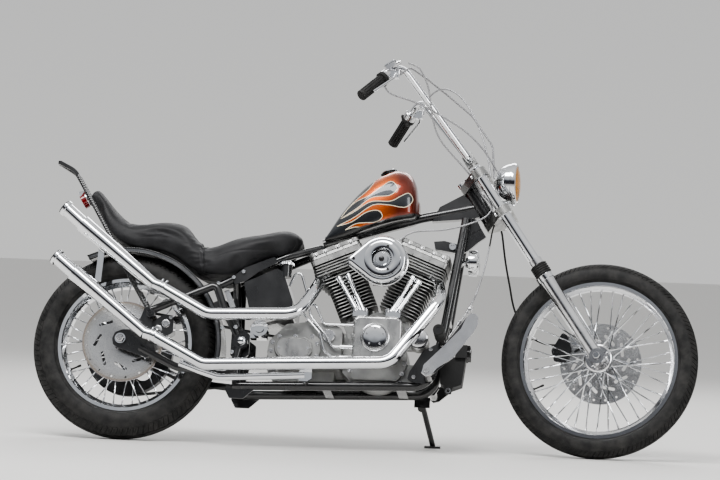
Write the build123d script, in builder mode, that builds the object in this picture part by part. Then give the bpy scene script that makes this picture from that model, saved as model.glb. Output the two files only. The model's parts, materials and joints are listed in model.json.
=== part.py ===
"""Chopper motorcycle with a 45 degree V-twin, parked on its side stand. Millimetres.

Everything is drawn on the upright motorcycle: X forward from the rear axle, Y to its left,
Z up from the ground. The steered pieces are then turned by the resting steering angle, and
the whole machine is leaned over until both tyres and the stand's foot touch the ground.
"""
import os
from math import asin, atan2, cos, degrees, hypot, radians, sin, sqrt, tan

from build123d import *

os.makedirs("parts", exist_ok=True)

# Wheels and tyres
wheelbase = 1700.0
rear_tyre_radius = 337.0
rear_tyre_width = 122.0
front_tyre_radius = 350.0
front_tyre_width = 88.0
rear_rim_radius = 242.4
rear_rim_half_width = 42.0
front_rim_radius = 281.0
front_rim_half_width = 28.0
rim_wall = 3.0
rim_lip = 12.0
rim_well = 24.0
bead_gap = 0.3
spoke_count = 40
spoke_thickness = 4.4
rear_axle_radius = 10.0
front_axle_radius = 9.5
running_gap = 0.06

# Parking and steering
lean_angle = 14.0
resting_steer = 5.0
rake = 34.5
fork_offset = 56.0

# Fork, measured along the legs upwards from the front axle
leg_y = 96.0
fork_tube_diameter = 39.0
slider_diameter = 50.0
slider_top = 352.0
seal_top = 416.0
lower_tree_height = 627.0
upper_tree_height = 790.0
tree_thickness = 30.0
tree_ring_radius = 31.0
stem_radius = 14.0
neck_radius = 28.0
tube_top = upper_tree_height + 22.0
riser_height = 73.0
bar_height = upper_tree_height + riser_height
bar_diameter = 25.4
clamp_gap = 0.1

# Brake discs
disc_radius = 146.0
disc_thickness = 5.0
rear_disc_y = -92.0
front_disc_y = 65.0
disc_slot_clearance = 5.0

# Belt drive, on the left
belt_y = 97.0
belt_width = 36.0
belt_thickness = 4.0
belt_gap = 0.5
rear_pulley_radius = 156.0
gearbox_pulley_radius = 71.0

# Frame tubes
frame_tube = 32.0
backbone_tube = 34.0
rail_tube = 28.0
rail_y = 85.0
seat_rail_y = 96.0
swingarm_y = 132.0
swingarm_tube = 28.0
pivot_x = 430.0
pivot_z = 343.0
pivot_radius = 12.0
fit_gap = 0.1
seat_gap = 0.3
tunnel_gap = 1.0
pocket_gap = 0.5

# Engine
crank_x = 909.0
crank_z = 317.0
vee_angle = 45.0
engine_tilt = 1.0
crankcase_radius = 112.0
crankcase_half_width = 72.0
deck_height = 155.0
cylinder_top = 349.0
head_top = 394.0
rocker_top = 438.0
barrel_radius = 50.0
fin_pitch = 12.5
fin_thickness = 3.4
fin_depth = 68.0
barrel_fin_reach = 72.0
head_fin_reach = 102.0
head_depth = 86.0
rocker_half_length = 97.0
clutch_x = 600.0
clutch_z = 330.0
primary_y = 125.0
primary_outer_y = 198.0

# Exhaust
exhaust_y = -190.0
exhaust_diameter = 44.5
muffler_diameter = 62.0
tip_diameter = 50.0
tip_ring_diameter = 60.0
clamp_ring = 3.5
exhaust_wall = 2.0

# Body
fender_gap = 12.0
fender_radius = rear_tyre_radius + fender_gap
fender_thickness = 3.0
fender_half_width = 72.0
fender_skirt = 16.0
headlight_radius = 74.0
grip_diameter = 35.0

rake_sin = sin(radians(rake))
rake_cos = cos(radians(rake))


# Small helpers, each drawing into the part that is being built
def side_plane(y):
    """A plane across the motorcycle, seen from its right: local x is X and local y is Z."""
    return Plane(origin=(0, y, 0), x_dir=(1, 0, 0), z_dir=(0, -1, 0))


def side_plate(outline, y_inner, y_outer, corner=0.0):
    """Extrude an outline of (X, Z) points between two values of Y."""
    with BuildSketch(side_plane((y_inner + y_outer) / 2)) as plate:
        Polygon(*outline, align=None)
        if corner > 0:
            fillet(plate.vertices(), corner)
    extrude(plate.sketch, amount=abs(y_outer - y_inner) / 2, both=True)


def side_disc(x, z, radius, y_inner, y_outer, mode=Mode.ADD):
    """A round boss or hole with its axis along Y."""
    with BuildSketch(side_plane((y_inner + y_outer) / 2)) as disc:
        with Locations((x, z)):
            Circle(radius)
    extrude(disc.sketch, amount=abs(y_outer - y_inner) / 2, both=True, mode=mode)


def tube_run(points, bends, diameter, mode=Mode.ADD):
    """Sweep a round tube along straight runs joined by bends."""
    with BuildLine() as centre:
        FilletPolyline(*points, radius=bends)
    with BuildSketch(Plane(origin=centre.line @ 0, z_dir=centre.line % 0)) as section:
        Circle(diameter / 2)
    sweep(section.sketch, path=centre.line, mode=mode)


def rod(start, end, radius, mode=Mode.ADD):
    """A straight round bar between two points."""
    run = Vector(*end) - Vector(*start)
    with BuildSketch(Plane(origin=start, z_dir=run)) as section:
        Circle(radius)
    extrude(section.sketch, amount=run.length, mode=mode)


def block(centre, size, mode=Mode.ADD, corner=0.0):
    """A box with its long edges rounded when a corner radius is given."""
    with Locations(centre):
        Box(*size, mode=mode)


def both_sides(points):
    """The points themselves and their mirror image on the left of the motorcycle."""
    return points, [(x, -y, z) for x, y, z in points]


def leg_point(height, y=0.0, back=0.0):
    """A point beside the fork legs' line, at a height along it and a distance behind it."""
    x = wheelbase - height * rake_sin - back * rake_cos
    z = front_tyre_radius + height * rake_cos - back * rake_sin
    return (x, y, z)


def tree_plane(height):
    """A plane square to the fork legs: local x is Y and local y points backwards."""
    return Plane(origin=leg_point(height), x_dir=(0, 1, 0), z_dir=(-rake_sin, 0, rake_cos))


def wheel_plane(x, z):
    """The half section of a wheel: local x is Y and local y is the radius."""
    return Plane(origin=(x, 0, z), x_dir=(0, 1, 0), z_dir=(1, 0, 0))


def tyre_section(tyre_radius, width, rim_radius, rim_half_width):
    """Draw a tyre's section: a round crown, bulging walls and feet that seat in the rim."""
    crown = width / 2
    centre = tyre_radius - crown
    shoulder = radians(20)
    wall = (crown * cos(shoulder), centre - crown * sin(shoulder))
    bead_y = rim_half_width - 5.5 - bead_gap
    foot = (bead_y, rim_radius - rim_lip + bead_gap)
    with BuildLine() as outline:
        ThreePointArc((-wall[0], wall[1]), (0, tyre_radius), wall)
        Polyline(wall, (rim_half_width + 2, rim_radius + 4), (bead_y, rim_radius + bead_gap), foot,
                 (-foot[0], foot[1]), (-bead_y, rim_radius + bead_gap), (-rim_half_width - 2, rim_radius + 4),
                 (-wall[0], wall[1]))
    make_face(outline.edges())


def rim_section(rim_radius, half_width):
    """Draw a rim's section: lips, bead seats and the well that the spokes pull on."""
    seat = rim_radius - rim_lip
    well = rim_radius - rim_well
    lip_y = half_width
    seat_y = half_width - 5.5
    well_y = half_width * 0.45
    outside = [(-lip_y, rim_radius), (-seat_y, rim_radius - 0.5), (-seat_y, seat), (-well_y, well),
               (well_y, well), (seat_y, seat), (seat_y, rim_radius - 0.5), (lip_y, rim_radius)]
    inside = [(lip_y, seat), (seat_y - 1, seat - rim_wall), (well_y, well - rim_wall),
              (-well_y, well - rim_wall), (-seat_y + 1, seat - rim_wall), (-lip_y, seat)]
    Polygon(*outside, *inside, align=None)


def add_spokes(x, z, hub_radius, hub_y, rim_radius, rim_y):
    """Lace the spokes: on each flange half lean forwards and half backwards."""
    per_flange = spoke_count // 2
    sweep_angle = 360 / per_flange * 2.5
    spokes = []
    for flange in range(2):
        side = 1 if flange else -1
        for number in range(per_flange):
            at_rim = 360 / per_flange * (number + flange / 2)
            lean = sweep_angle if number % 2 else -sweep_angle
            at_hub = radians(at_rim + lean)
            at_rim = radians(at_rim)
            start = Vector(x + hub_radius * cos(at_hub), side * hub_y, z + hub_radius * sin(at_hub))
            end = Vector(x + rim_radius * cos(at_rim), side * rim_y, z + rim_radius * sin(at_rim))
            with BuildSketch(Plane(origin=start, z_dir=end - start)) as section:
                RegularPolygon(spoke_thickness / 2, 4)
            spokes.append(extrude(section.sketch, amount=(end - start).length, mode=Mode.PRIVATE))
    add(spokes)


# Rear wheel
rear_axis = Axis((0, 0, rear_tyre_radius), (0, 1, 0))
rear_section = wheel_plane(0, rear_tyre_radius)

with BuildPart() as rear_tyre:
    with BuildSketch(rear_section):
        tyre_section(rear_tyre_radius, rear_tyre_width, rear_rim_radius, rear_rim_half_width)
    revolve(axis=rear_axis)

rear_hub_half = 74.0
with BuildPart() as rear_wheel:
    with BuildSketch(rear_section):
        rim_section(rear_rim_radius, rear_rim_half_width)
    revolve(axis=rear_axis)
    with BuildSketch(rear_section):
        bore = rear_axle_radius + running_gap
        disc_seat = rear_disc_y + disc_thickness / 2 + seat_gap
        Polygon((disc_seat, bore), (disc_seat, 30), (-36, 34), (-34, 46), (-29, 46),
                (-26, 27), (26, 27), (29, 46), (34, 46), (36, 34), (rear_hub_half + 1, 38),
                (rear_hub_half + 1, bore), align=None)
    revolve(axis=rear_axis)
    add_spokes(0, rear_tyre_radius, 41, 31, rear_rim_radius - rim_well - 1, 10)

front_axis = Axis((wheelbase, 0, front_tyre_radius), (0, 1, 0))
front_section = wheel_plane(wheelbase, front_tyre_radius)

with BuildPart() as front_tyre:
    with BuildSketch(front_section):
        tyre_section(front_tyre_radius, front_tyre_width, front_rim_radius, front_rim_half_width)
    revolve(axis=front_axis)

front_hub_half = 62.0
with BuildPart() as front_wheel:
    with BuildSketch(front_section):
        rim_section(front_rim_radius, front_rim_half_width)
    revolve(axis=front_axis)
    with BuildSketch(front_section):
        bore = front_axle_radius + running_gap
        Polygon((-front_hub_half, bore), (-front_hub_half, 27), (-40, 27), (-38, 38), (-33, 38), (-30, 22),
                (30, 22), (33, 38), (38, 38), (40, 30), (front_hub_half, 30), (front_hub_half, bore),
                align=None)
    revolve(axis=front_axis)
    add_spokes(wheelbase, front_tyre_radius, 34, 35.5, front_rim_radius - rim_well - 1, 6)


def brake_disc(x, z, y, bore_radius, slots):
    """A floating disc: friction ring, slotted carrier and its bore."""
    with BuildSketch(side_plane(y)) as disc:
        with Locations((x, z)):
            Circle(disc_radius)
            Circle(bore_radius, mode=Mode.SUBTRACT)
            with PolarLocations(disc_radius * 0.62, slots):
                SlotOverall(52, 11, rotation=62, mode=Mode.SUBTRACT)
            with PolarLocations(disc_radius * 0.9, slots * 2, start_angle=9):
                Circle(4, mode=Mode.SUBTRACT)
    extrude(disc.sketch, amount=disc_thickness / 2, both=True)


with BuildPart() as rear_brake_disc:
    brake_disc(0, rear_tyre_radius, rear_disc_y, rear_axle_radius + 2, 8)

with BuildPart() as front_brake_disc:
    brake_disc(wheelbase, front_tyre_radius, front_disc_y, front_axle_radius + 2, 10)

# Toothed pulley: rim, a web with windows and the flanges that keep the belt on
with BuildPart() as rear_pulley:
    side_disc(0, rear_tyre_radius, rear_pulley_radius, belt_y - belt_width / 2 - 1, belt_y + belt_width / 2 + 1)
    side_disc(0, rear_tyre_radius, rear_pulley_radius - 14, belt_y - 14, belt_y + 30, mode=Mode.SUBTRACT)
    with BuildSketch(side_plane(belt_y)):
        with Locations((0, rear_tyre_radius)):
            with PolarLocations(92, 5, start_angle=90):
                Circle(32)
    extrude(amount=belt_width, both=True, mode=Mode.SUBTRACT)
    side_disc(0, rear_tyre_radius, rear_axle_radius + 2, 0, 200, mode=Mode.SUBTRACT)

with BuildPart() as rear_axle:
    rod((0, -swingarm_y - 20, rear_tyre_radius), (0, swingarm_y + 20, rear_tyre_radius), rear_axle_radius)
    side_disc(0, rear_tyre_radius, 19, -swingarm_y - 8, -swingarm_y - 18)
    side_disc(0, rear_tyre_radius, 19, swingarm_y + 8, swingarm_y + 18)

# Where the side stand hinges, and where its foot meets the ground
stand_pivot = Vector(1070.0, 122.0, 190.0)
foot_ground = (1106.0, 246.0)


def parked_place():
    """Lean about the ground line, then pitch and lift until both leaned tyres touch the ground."""
    lean = Location((0, 0, 0), (-lean_angle, 0, 0))
    turn = steering_turn()
    low = []
    for centre, radius, width, moved in (((0, 0, rear_tyre_radius), rear_tyre_radius, rear_tyre_width, lean),
                                         ((wheelbase, 0, front_tyre_radius), front_tyre_radius, front_tyre_width,
                                          lean * turn)):
        hub = (moved * Location(centre)).position
        side = (moved * Location((centre[0], 1, centre[2]))).position - hub
        crown = width / 2
        low.append(hub.Z - (radius - crown) * sqrt(1 - side.Z ** 2) - crown)
    pitch = degrees(atan2(low[1] - low[0], wheelbase))
    return Location((0, 0, -low[0])) * Location((0, 0, 0), (0, pitch, 0)) * lean


def steering_turn():
    """The resting turn of everything that the handlebar steers, about the steering head."""
    head = Plane(origin=leg_point(0, 0, fork_offset), x_dir=(0, 1, 0), z_dir=(-rake_sin, 0, rake_cos)).location
    return head * Location((0, 0, 0), (0, 0, -resting_steer)) * head.inverse()


parked = parked_place()
steered = parked * steering_turn()
foot_centre = (parked.inverse() * Location((foot_ground[0], foot_ground[1], 0))).position
ground_up = (parked.inverse() * Location((0, 0, 1))).position - (parked.inverse() * Location((0, 0, 0))).position
stand_hinge_half = 16.0
leg_run = foot_centre - stand_pivot
fold_target = Vector(-0.97, 0.2, -0.14)
fold_axis = leg_run.cross(fold_target).normalized()

# Frame: steering head and backbone
neck_start = lower_tree_height + tree_thickness / 2 + 1.5
neck_end = upper_tree_height - tree_thickness / 2 - 1.5
neck_low = leg_point(neck_start, 0, fork_offset)
neck_high = leg_point(neck_end, 0, fork_offset)
backbone_front = leg_point((neck_start + neck_end) / 2 + 4, 0, fork_offset + 12)
neck_x = backbone_front[0]
neck_z = backbone_front[2]
backbone_line = [(690.0, 0.0, 742.0), (neck_x - 200.7, 0.0, neck_z - 47.3), backbone_front]
gusset_foot = ((neck_x - 44.7, neck_z - 48.3), (neck_x + 21.3, neck_z - 36.3))

with BuildPart() as frame_backbone:
    tube_run(backbone_line, [300], backbone_tube)
    rod(neck_low, neck_high, neck_radius)
    side_plate([(neck_x - 160.7, neck_z - 60.3), (neck_x - 135.7, neck_z - 5.3), (neck_x - 52.7, neck_z + 42.7),
                (neck_x - 4.7, neck_z + 1.7), gusset_foot[1], gusset_foot[0]], -14, 14)
    rod(leg_point(neck_start - 5, 0, fork_offset), leg_point(neck_end + 5, 0, fork_offset),
        stem_radius + running_gap, mode=Mode.SUBTRACT)

# Frame: the cradle, two tubes that run back under the engine from below the steering head
rail_front = (1030.0, -rail_y, 215.0)
rail_rear = (405.0, -rail_y, 193.0)
tube_low = (1150.0, -76.0, 440.0)
tube_high = (neck_x - 36.7, -33.0, neck_z - 52.3)
cradle_line = [rail_rear, (1106.0, -rail_y, 217.7), tube_low, tube_high]


def down_tube(z):
    """The right down tube's centre at a height above its lower bend."""
    along = (z - tube_low[2]) / (tube_high[2] - tube_low[2])
    return (tube_low[0] + along * (tube_high[0] - tube_low[0]), tube_low[1] + along * (tube_high[1] - tube_low[1]), z)


def across(point, radius):
    """A round cross member through a point of the right side, over to the left."""
    rod(point, (point[0], -point[1], point[2]), radius)


horn_bar_radius = 12.0
regulator_bar = (1126.0, -81.0, 318.0)
regulator_bar_radius = 8.0
with BuildPart() as frame_cradle:
    for line in both_sides(cradle_line):
        tube_run(line, [75, 400], frame_tube)
    side_plate([(neck_x - 56.7, neck_z - 102.3), (gusset_foot[0][0] + 3, gusset_foot[0][1] + 0.2),
                (gusset_foot[1][0] - 35.3, gusset_foot[1][1] - 6.8), (neck_x - 28.7, neck_z - 102.3)], -28, 28)
    side_plate([(gusset_foot[0][0] + 3, gusset_foot[0][1] + 0.2), (gusset_foot[1][0] - 35.3, gusset_foot[1][1] - 6.8),
                (neck_x - 0.7, neck_z - 46.3), (neck_x + 15.3, neck_z - 76.3), (neck_x + 36.3, neck_z - 110.3),
                (neck_x + 9.3, neck_z - 130.3), (neck_x - 9.7, neck_z - 148.3), (neck_x - 28.7, neck_z - 164.3),
                (neck_x - 52.7, neck_z - 176.3)], -8, 8)
    side_plate([(1096, 736), (1090, 764), (1128, 768), (1186, 754), (1184, 722)], -14, 14)
    across(down_tube(690), horn_bar_radius)
    across(down_tube(745), 9)
    across(down_tube(470), 13)
    across(regulator_bar, regulator_bar_radius)

    for x, width in ((412, 34), (740, 30), (1005, 34)):
        z = rail_rear[2] + (x - rail_rear[0]) * (rail_front[2] - rail_rear[2]) / (rail_front[0] - rail_rear[0])
        block((x, 0, z - 5), (width, 2 * rail_y, 16))
    side_plate([(1042, 176), (1042, 214), (1098, 214), (1098, 176)], 95, 99)
    for y in (-90, 90):
        side_plate([(384, 192), (380, 176), (396, 147), (446, 147), (500, 196)], y - 3, y + 3, 4)
    rod(tuple(stand_pivot - fold_axis * 24), tuple(stand_pivot + fold_axis * 24), 6)
    rod(tuple(stand_pivot - fold_axis * 26), tuple(stand_pivot - fold_axis * (stand_hinge_half + 1)), 14)
    rod(tuple(stand_pivot + fold_axis * (stand_hinge_half + 1)), tuple(stand_pivot + fold_axis * 24), 14)

# Frame: seat rails, posts and the pivot plates
post_line = [(396.0, -seat_rail_y, 584.0), (402.0, -54.0, 480.0), (412.0, -54.0, 196.8)]
with BuildPart() as seat_frame:
    for line in both_sides([(340, -seat_rail_y, 553), (441, -seat_rail_y, 609), (571, -72, 674), (684, -36, 716)]):
        tube_run(line, [200, 200], rail_tube)
    rod((688, -44, 715), (688, 44, 715), 12.5)
    for line in both_sides(post_line):
        tube_run(line, [80], rail_tube)
    for y in (-seat_rail_y, seat_rail_y):
        side_plate([(392, 296), (392, 392), (420, 404), (458, 376), (458, 304), (440, 290)], y - 6, y + 6, 8)
        block((424, y * 0.8, 343), (40, 50, 60))
        side_disc(pivot_x, pivot_z, pivot_radius + fit_gap, y - 60, y + 60, mode=Mode.SUBTRACT)
    for y in (-seat_rail_y - 16, seat_rail_y + 16):
        side_plate([(392, 556), (384, 584), (424, 618), (530, 662), (546, 644), (478, 606), (430, 568)],
                   y - 3, y + 3, 6)

# Swingarm: two triangles that carry the rear wheel, joined ahead of it
upper_strut = [(90, -swingarm_y, 441), (330, -swingarm_y, 547), (360, -swingarm_y, 468),
               (430, -swingarm_y, 343), (404, -swingarm_y, 226), (206, -swingarm_y, 243),
               (70, -swingarm_y, 308)]
axle_plate = [(-30, 337), (-22, 360), (4, 371), (52, 372), (80, 458), (104, 458), (112, 372), (130, 284),
              (96, 272), (-8, 305), (-26, 316)]
fender_bar_radius = 10.0
fender_bar_angle = radians(22.1)
with BuildPart() as swingarm:
    for line in both_sides(upper_strut):
        tube_run(line, [18, 60, 60, 40, 80], swingarm_tube)
    for y in (-swingarm_y, swingarm_y):
        side_plate(axle_plate, y - 7, y + 7, 6)
        side_disc(pivot_x, pivot_z, 26, y - 16, y + 16)
        side_disc(pivot_x, pivot_z, 15, y - 22, y + 22)
        side_disc(0, rear_tyre_radius, rear_axle_radius + fit_gap, y - 20, y + 20, mode=Mode.SUBTRACT)
    rod((pivot_x, -swingarm_y, pivot_z), (pivot_x, swingarm_y, pivot_z), pivot_radius)
    bar_reach = fender_radius + fender_thickness + seat_gap + fender_bar_radius
    across((bar_reach * cos(fender_bar_angle), -swingarm_y, rear_tyre_radius + bar_reach * sin(fender_bar_angle)),
           fender_bar_radius)

# Engine
def cylinder_plane(direction, height):
    """A plane square to a cylinder: local x points away from the other one, local y is Y or its reverse."""
    angle = radians(direction * vee_angle / 2 - engine_tilt)
    up = (sin(angle), 0, cos(angle))
    out = (direction * cos(angle), 0, -direction * sin(angle))
    return Plane(origin=(crank_x + height * up[0], 0, crank_z + height * up[2]), x_dir=out, z_dir=up)


front_bank = 1
rear_bank = -1

# Exhaust headers, from the ports to the joints with the mufflers
lower_header = [(1078, -38, 648), (1116, -44, 600), (1134, -140, 520), (968, exhaust_y, 277),
                (308, exhaust_y, 246.5), (122, exhaust_y, 343)]
upper_header = [(730, -38, 642), (694, -44, 600), (678, -125, 535), (634, exhaust_y, 440), (313, exhaust_y, 428),
                (140, exhaust_y, 520)]
header_bends = [34, 75, 75, 60]

with BuildPart() as crankcase:
    side_disc(crank_x, crank_z, crankcase_radius, -crankcase_half_width, crankcase_half_width)
    for bank in (rear_bank, front_bank):
        with BuildSketch(cylinder_plane(bank, 40)):
            Rectangle(136, 2 * crankcase_half_width - 8)
        extrude(amount=deck_height - 40)
    side_plate([(790, 262), (790, 404), (860, 404), (860, 232), (820, 232)], -60, 60)
    side_plate([(1000, 224), (1000, 300), (1046, 300), (1060, 240), (1046, 224)], -50, 50)
    side_plate([(820, 222), (820, 260), (1000, 260), (1000, 223)], -50, 50)
    for y in (-66, 66):
        block((crank_x, y, 206), (260, 24, 60), mode=Mode.SUBTRACT)
    side_disc(crank_x, crank_z, 80, crankcase_half_width - 2, primary_y - seat_gap)
    side_plate([(990, 352), (990, 396), (1065, 396), (1065, 348)], -68, -40)
    side_disc(1062, 377, 34, -124, -52)

cam_x = 909.0
cam_z = 374.5
cam_face_y = -150.0
with BuildPart() as cam_cover:
    with BuildSketch(side_plane(-crankcase_half_width - seat_gap)) as cover_outline:
        Polygon((830, 296), (830, 438), (846, 452), (984, 452), (1002, 438), (1004, 330), (976, 288), (850, 288),
                align=None)
        fillet(cover_outline.vertices(), 12)
    extrude(amount=-cam_face_y - crankcase_half_width)
    fillet(cam_cover.faces().sort_by(Axis.Y)[0].edges(), 9)
    with BuildSketch(side_plane(cam_face_y)):
        with Locations((cam_x, cam_z)):
            Circle(52)
    extrude(amount=7, taper=30)
    with BuildSketch(side_plane(cam_face_y - 7)):
        with Locations((cam_x, cam_z)):
            Circle(41)
    extrude(amount=6, taper=35)

# Tappet blocks with the four pushrod tubes that stand on them, by (X, Y, Z) of top and foot
pushrods = [((762, -84, 600), (838, -116, 472)), ((794, -84, 612), (862, -116, 472)),
            ((1050, -84, 596), (976, -116, 472)), ((1028, -84, 612), (958, -116, 472))]
with BuildPart() as pushrod_tubes:
    for top, foot in pushrods:
        rod(foot, top, 8)
        lower = Vector(*foot) + (Vector(*top) - Vector(*foot)) * 0.4
        rod(foot, lower, 11)
    for x in (850, 967):
        block((x, -113, 463.8), (52, 44, 23))


def fin_half_width(height):
    """How far a fin reaches away from the other cylinder at a height above the crank."""
    flare = 60.0
    widening = max(0.0, height - (cylinder_top - flare)) / flare
    return barrel_fin_reach + widening * (head_fin_reach - barrel_fin_reach)


def inner_half_width(height):
    """How far a fin reaches towards the other cylinder, short of the plane between them."""
    return min(fin_half_width(height), height * tan(radians(vee_angle / 2)) - 5)


with BuildPart() as cylinders:
    for bank in (rear_bank, front_bank):
        with BuildSketch(cylinder_plane(bank, deck_height + seat_gap)):
            Circle(barrel_radius)
        extrude(amount=cylinder_top - deck_height - 2 * seat_gap)
        fin_count = int((cylinder_top - deck_height - 8) / fin_pitch)
        for number in range(fin_count):
            height = cylinder_top - 6 - number * fin_pitch
            outer = fin_half_width(height)
            inner = inner_half_width(height)
            with BuildSketch(cylinder_plane(bank, height)) as fin:
                with Locations(((outer - inner) / 2, 0)):
                    Rectangle(outer + inner, 2 * fin_depth)
                chamfer(fin.vertices(), 14)
        extrude(amount=fin_thickness)
    for header in (lower_header, upper_header):
        tube_run(header, header_bends, exhaust_diameter + 2 * pocket_gap, mode=Mode.SUBTRACT)

with BuildPart() as cylinder_heads:
    for bank in (rear_bank, front_bank):
        with BuildSketch(cylinder_plane(bank, cylinder_top)):
            Rectangle(150, 136)
        extrude(amount=head_top - cylinder_top)
        for number in range(4):
            with BuildSketch(cylinder_plane(bank, cylinder_top + number * 10.5)) as fin:
                Rectangle(2 * head_fin_reach - 3 * number, 2 * head_depth)
                chamfer(fin.vertices(), 10)
        extrude(amount=4)
        with BuildSketch(cylinder_plane(bank, head_top - 4)) as lower_box:
            Rectangle(2 * rocker_half_length, 2 * head_depth)
            fillet(lower_box.vertices(), 14)
        extrude(amount=22)
        with BuildSketch(cylinder_plane(bank, head_top + 18)) as upper_box:
            Rectangle(2 * rocker_half_length - 6, 2 * head_depth - 6)
            fillet(upper_box.vertices(), 14)
        extrude(amount=rocker_top - head_top - 18, taper=8)
    for header in (lower_header, upper_header):
        tube_run(header, header_bends, exhaust_diameter + 2 * pocket_gap, mode=Mode.SUBTRACT)

# Teardrop air cleaner on the right, with the carburettor and inlet pipe behind it
cleaner_x = 924.7
cleaner_z = 647.4
cleaner_face_y = -206.0
with BuildPart() as air_cleaner:
    with BuildSketch(side_plane(-146)):
        with Locations((cleaner_x, cleaner_z)):
            Circle(87)
        with Locations((818, 641)):
            Circle(18)
        make_hull()
    extrude(amount=-cleaner_face_y - 146)
    fillet(air_cleaner.faces().sort_by(Axis.Y)[0].edges(), 15)
    side_disc(cleaner_x, cleaner_z, 64, cleaner_face_y + 4, cleaner_face_y - 4)
    side_disc(cleaner_x - 4, cleaner_z + 2, 38, cleaner_face_y + 16, cleaner_face_y - 10, mode=Mode.SUBTRACT)

with BuildPart() as carburettor:
    rod((908, -145.7, 628), (908, -40, 628), 26)
    block((908, -96, 606), (48, 58, 52))
    rod((908, -60, 628), (908, 0, 628), 22)
    rod((863.1, 0, 640), (943.1, 0, 640), 20)

# Gearbox with its side cover
with BuildPart() as gearbox:
    with BuildSketch(side_plane(0)) as case_outline:
        Polygon((548, 262), (548, 372), (590, 418), (668, 428), (722, 424), (762, 424), (789.7, 404), (789.7, 262), align=None)
        fillet(case_outline.vertices(), 14)
    extrude(amount=-(-118), mode=Mode.ADD)
    with BuildSketch(side_plane(0)) as case_left:
        Polygon((548, 262), (548, 372), (590, 418), (668, 428), (722, 424), (762, 424), (789.7, 404), (789.7, 262), align=None)
        fillet(case_left.vertices(), 14)
    extrude(amount=-76)
    side_plate([(527, 308), (533, 350), (556, 376), (690, 379), (712, 362), (716, 318), (700, 268), (545, 268)],
               -117, -138, 10)
    with BuildSketch(side_plane(-138)):
        with Locations((621, 326)):
            SlotOverall(138, 84)
    extrude(amount=12, taper=14)
    side_disc(clutch_x, clutch_z, gearbox_pulley_radius, belt_y - belt_width / 2, belt_y + belt_width / 2)
    side_disc(clutch_x, clutch_z, 30, 70, primary_y - seat_gap)
    side_plate([(560, 222), (560, 270), (760, 270), (760, 226)], -46, 46)

with BuildPart() as drive_belt:
    with BuildSketch(side_plane(belt_y)):
        with Locations((0, rear_tyre_radius)):
            Circle(rear_pulley_radius + belt_gap + belt_thickness)
        with Locations((clutch_x, clutch_z)):
            Circle(gearbox_pulley_radius + belt_gap + belt_thickness)
        make_hull()
    extrude(amount=belt_width / 2 - 2, both=True)
    with BuildSketch(side_plane(belt_y)):
        with Locations((0, rear_tyre_radius)):
            Circle(rear_pulley_radius + belt_gap)
        with Locations((clutch_x, clutch_z)):
            Circle(gearbox_pulley_radius + belt_gap)
        make_hull()
    extrude(amount=belt_width, both=True, mode=Mode.SUBTRACT)

with BuildPart() as primary_cover:
    with BuildSketch(side_plane(primary_y)):
        with Locations((crank_x, crank_z)):
            Circle(92)
        with Locations((clutch_x, clutch_z)):
            Circle(106)
        make_hull()
    extrude(amount=-(primary_outer_y - primary_y))
    fillet(primary_cover.faces().sort_by(Axis.Y)[-1].edges(), 20)
    side_disc(clutch_x, clutch_z, 72, primary_outer_y, primary_outer_y + 7)
    with BuildSketch(side_plane(primary_outer_y)):
        with Locations((772, 322)):
            SlotOverall(120, 62)
    extrude(amount=-5)

# Oil tank under the seat, with its filler and the three chromed oil pipes
with BuildPart() as oil_tank:
    with BuildSketch(side_plane(0)) as tank_side:
        Polygon((426, 562), (545, 618), (566, 606), (606, 500), (604, 448), (470, 440), (450, 470), align=None)
        fillet(tank_side.vertices(), 10)
    extrude(amount=122, both=True)
    rod((574, -104, 590), (574, -104, 634), 20)
    rod((574, -104, 634), (574, -104, 643), 25)

oil_pipes = [[(587, -90, 562), (619, -96, 636), (652, -102, 541), (674, -128, 446), (729, -135, 382),
              (757, -135, 338), (829.7, -135, 338)],
             [(611, -104, 470), (646, -130, 456), (711, -145, 383), (730, -144, 318), (760, -136, 300),
              (829.7, -135, 300)],
             [(613, -84, 490), (650, -86, 506), (690, -122, 488), (722, -126, 420), (829.7, -126, 420)]]
oil_pipe_bends = [[16, 60, 60, 60, 20], [20, 30, 24, 20], [20, 24, 16]]
with BuildPart() as oil_lines:
    for pipe, bends in zip(oil_pipes, oil_pipe_bends):
        tube_run(pipe, bends, 9)
    for z in (338, 300):
        rod((786, -135, z), (829.7, -135, z), 8)
    side_disc(494, 396, 30, -84, -134)
    side_disc(494, 396, 17, -134, -142)
    block((487.65, -80, 389), (58.7, 40, 46))

# Exhausts: a header from each head, a long tapered muffler and a thinner tip with a rolled end
lower_muffler = [(92, exhaust_y, 350.7), (-176, exhaust_y, 561), (-246, exhaust_y, 617)]
upper_muffler = [(113, exhaust_y, 529.3), (-158, exhaust_y, 741), (-226, exhaust_y, 798)]


def exhaust(header, muffler):
    """Header, a cone growing to the rear, a step down to the tip and its flared ring."""
    joint = header[-1]
    kink, step, end = [Vector(*point) for point in muffler]
    tube_run(header + [tuple(kink)], header_bends + [60], exhaust_diameter)
    run = (step - kink).normalized()
    with BuildSketch(Plane(origin=kink - run * 2, z_dir=run)) as narrow:
        Circle(exhaust_diameter / 2 + 0.6)
    with BuildSketch(Plane(origin=step, z_dir=run)) as wide:
        Circle(muffler_diameter / 2)
    loft([narrow.sketch.face(), wide.sketch.face()])
    for along in (-24, -8):
        ring = kink + (Vector(*joint) - kink).normalized() * (along + 52)
        rod(tuple(ring), tuple(ring + (kink - Vector(*joint)).normalized() * 5), exhaust_diameter / 2 + clamp_ring)
    rod(tuple(step), tuple(end), tip_diameter / 2)
    rod(tuple(end - run * 10), tuple(end), tip_ring_diameter / 2)
    rod(tuple(end - run * 60), tuple(end + run * 5), tip_diameter / 2 - exhaust_wall, mode=Mode.SUBTRACT)


with BuildPart() as lower_exhaust:
    exhaust(lower_header, lower_muffler)

with BuildPart() as upper_exhaust:
    exhaust(upper_header, upper_muffler)

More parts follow.
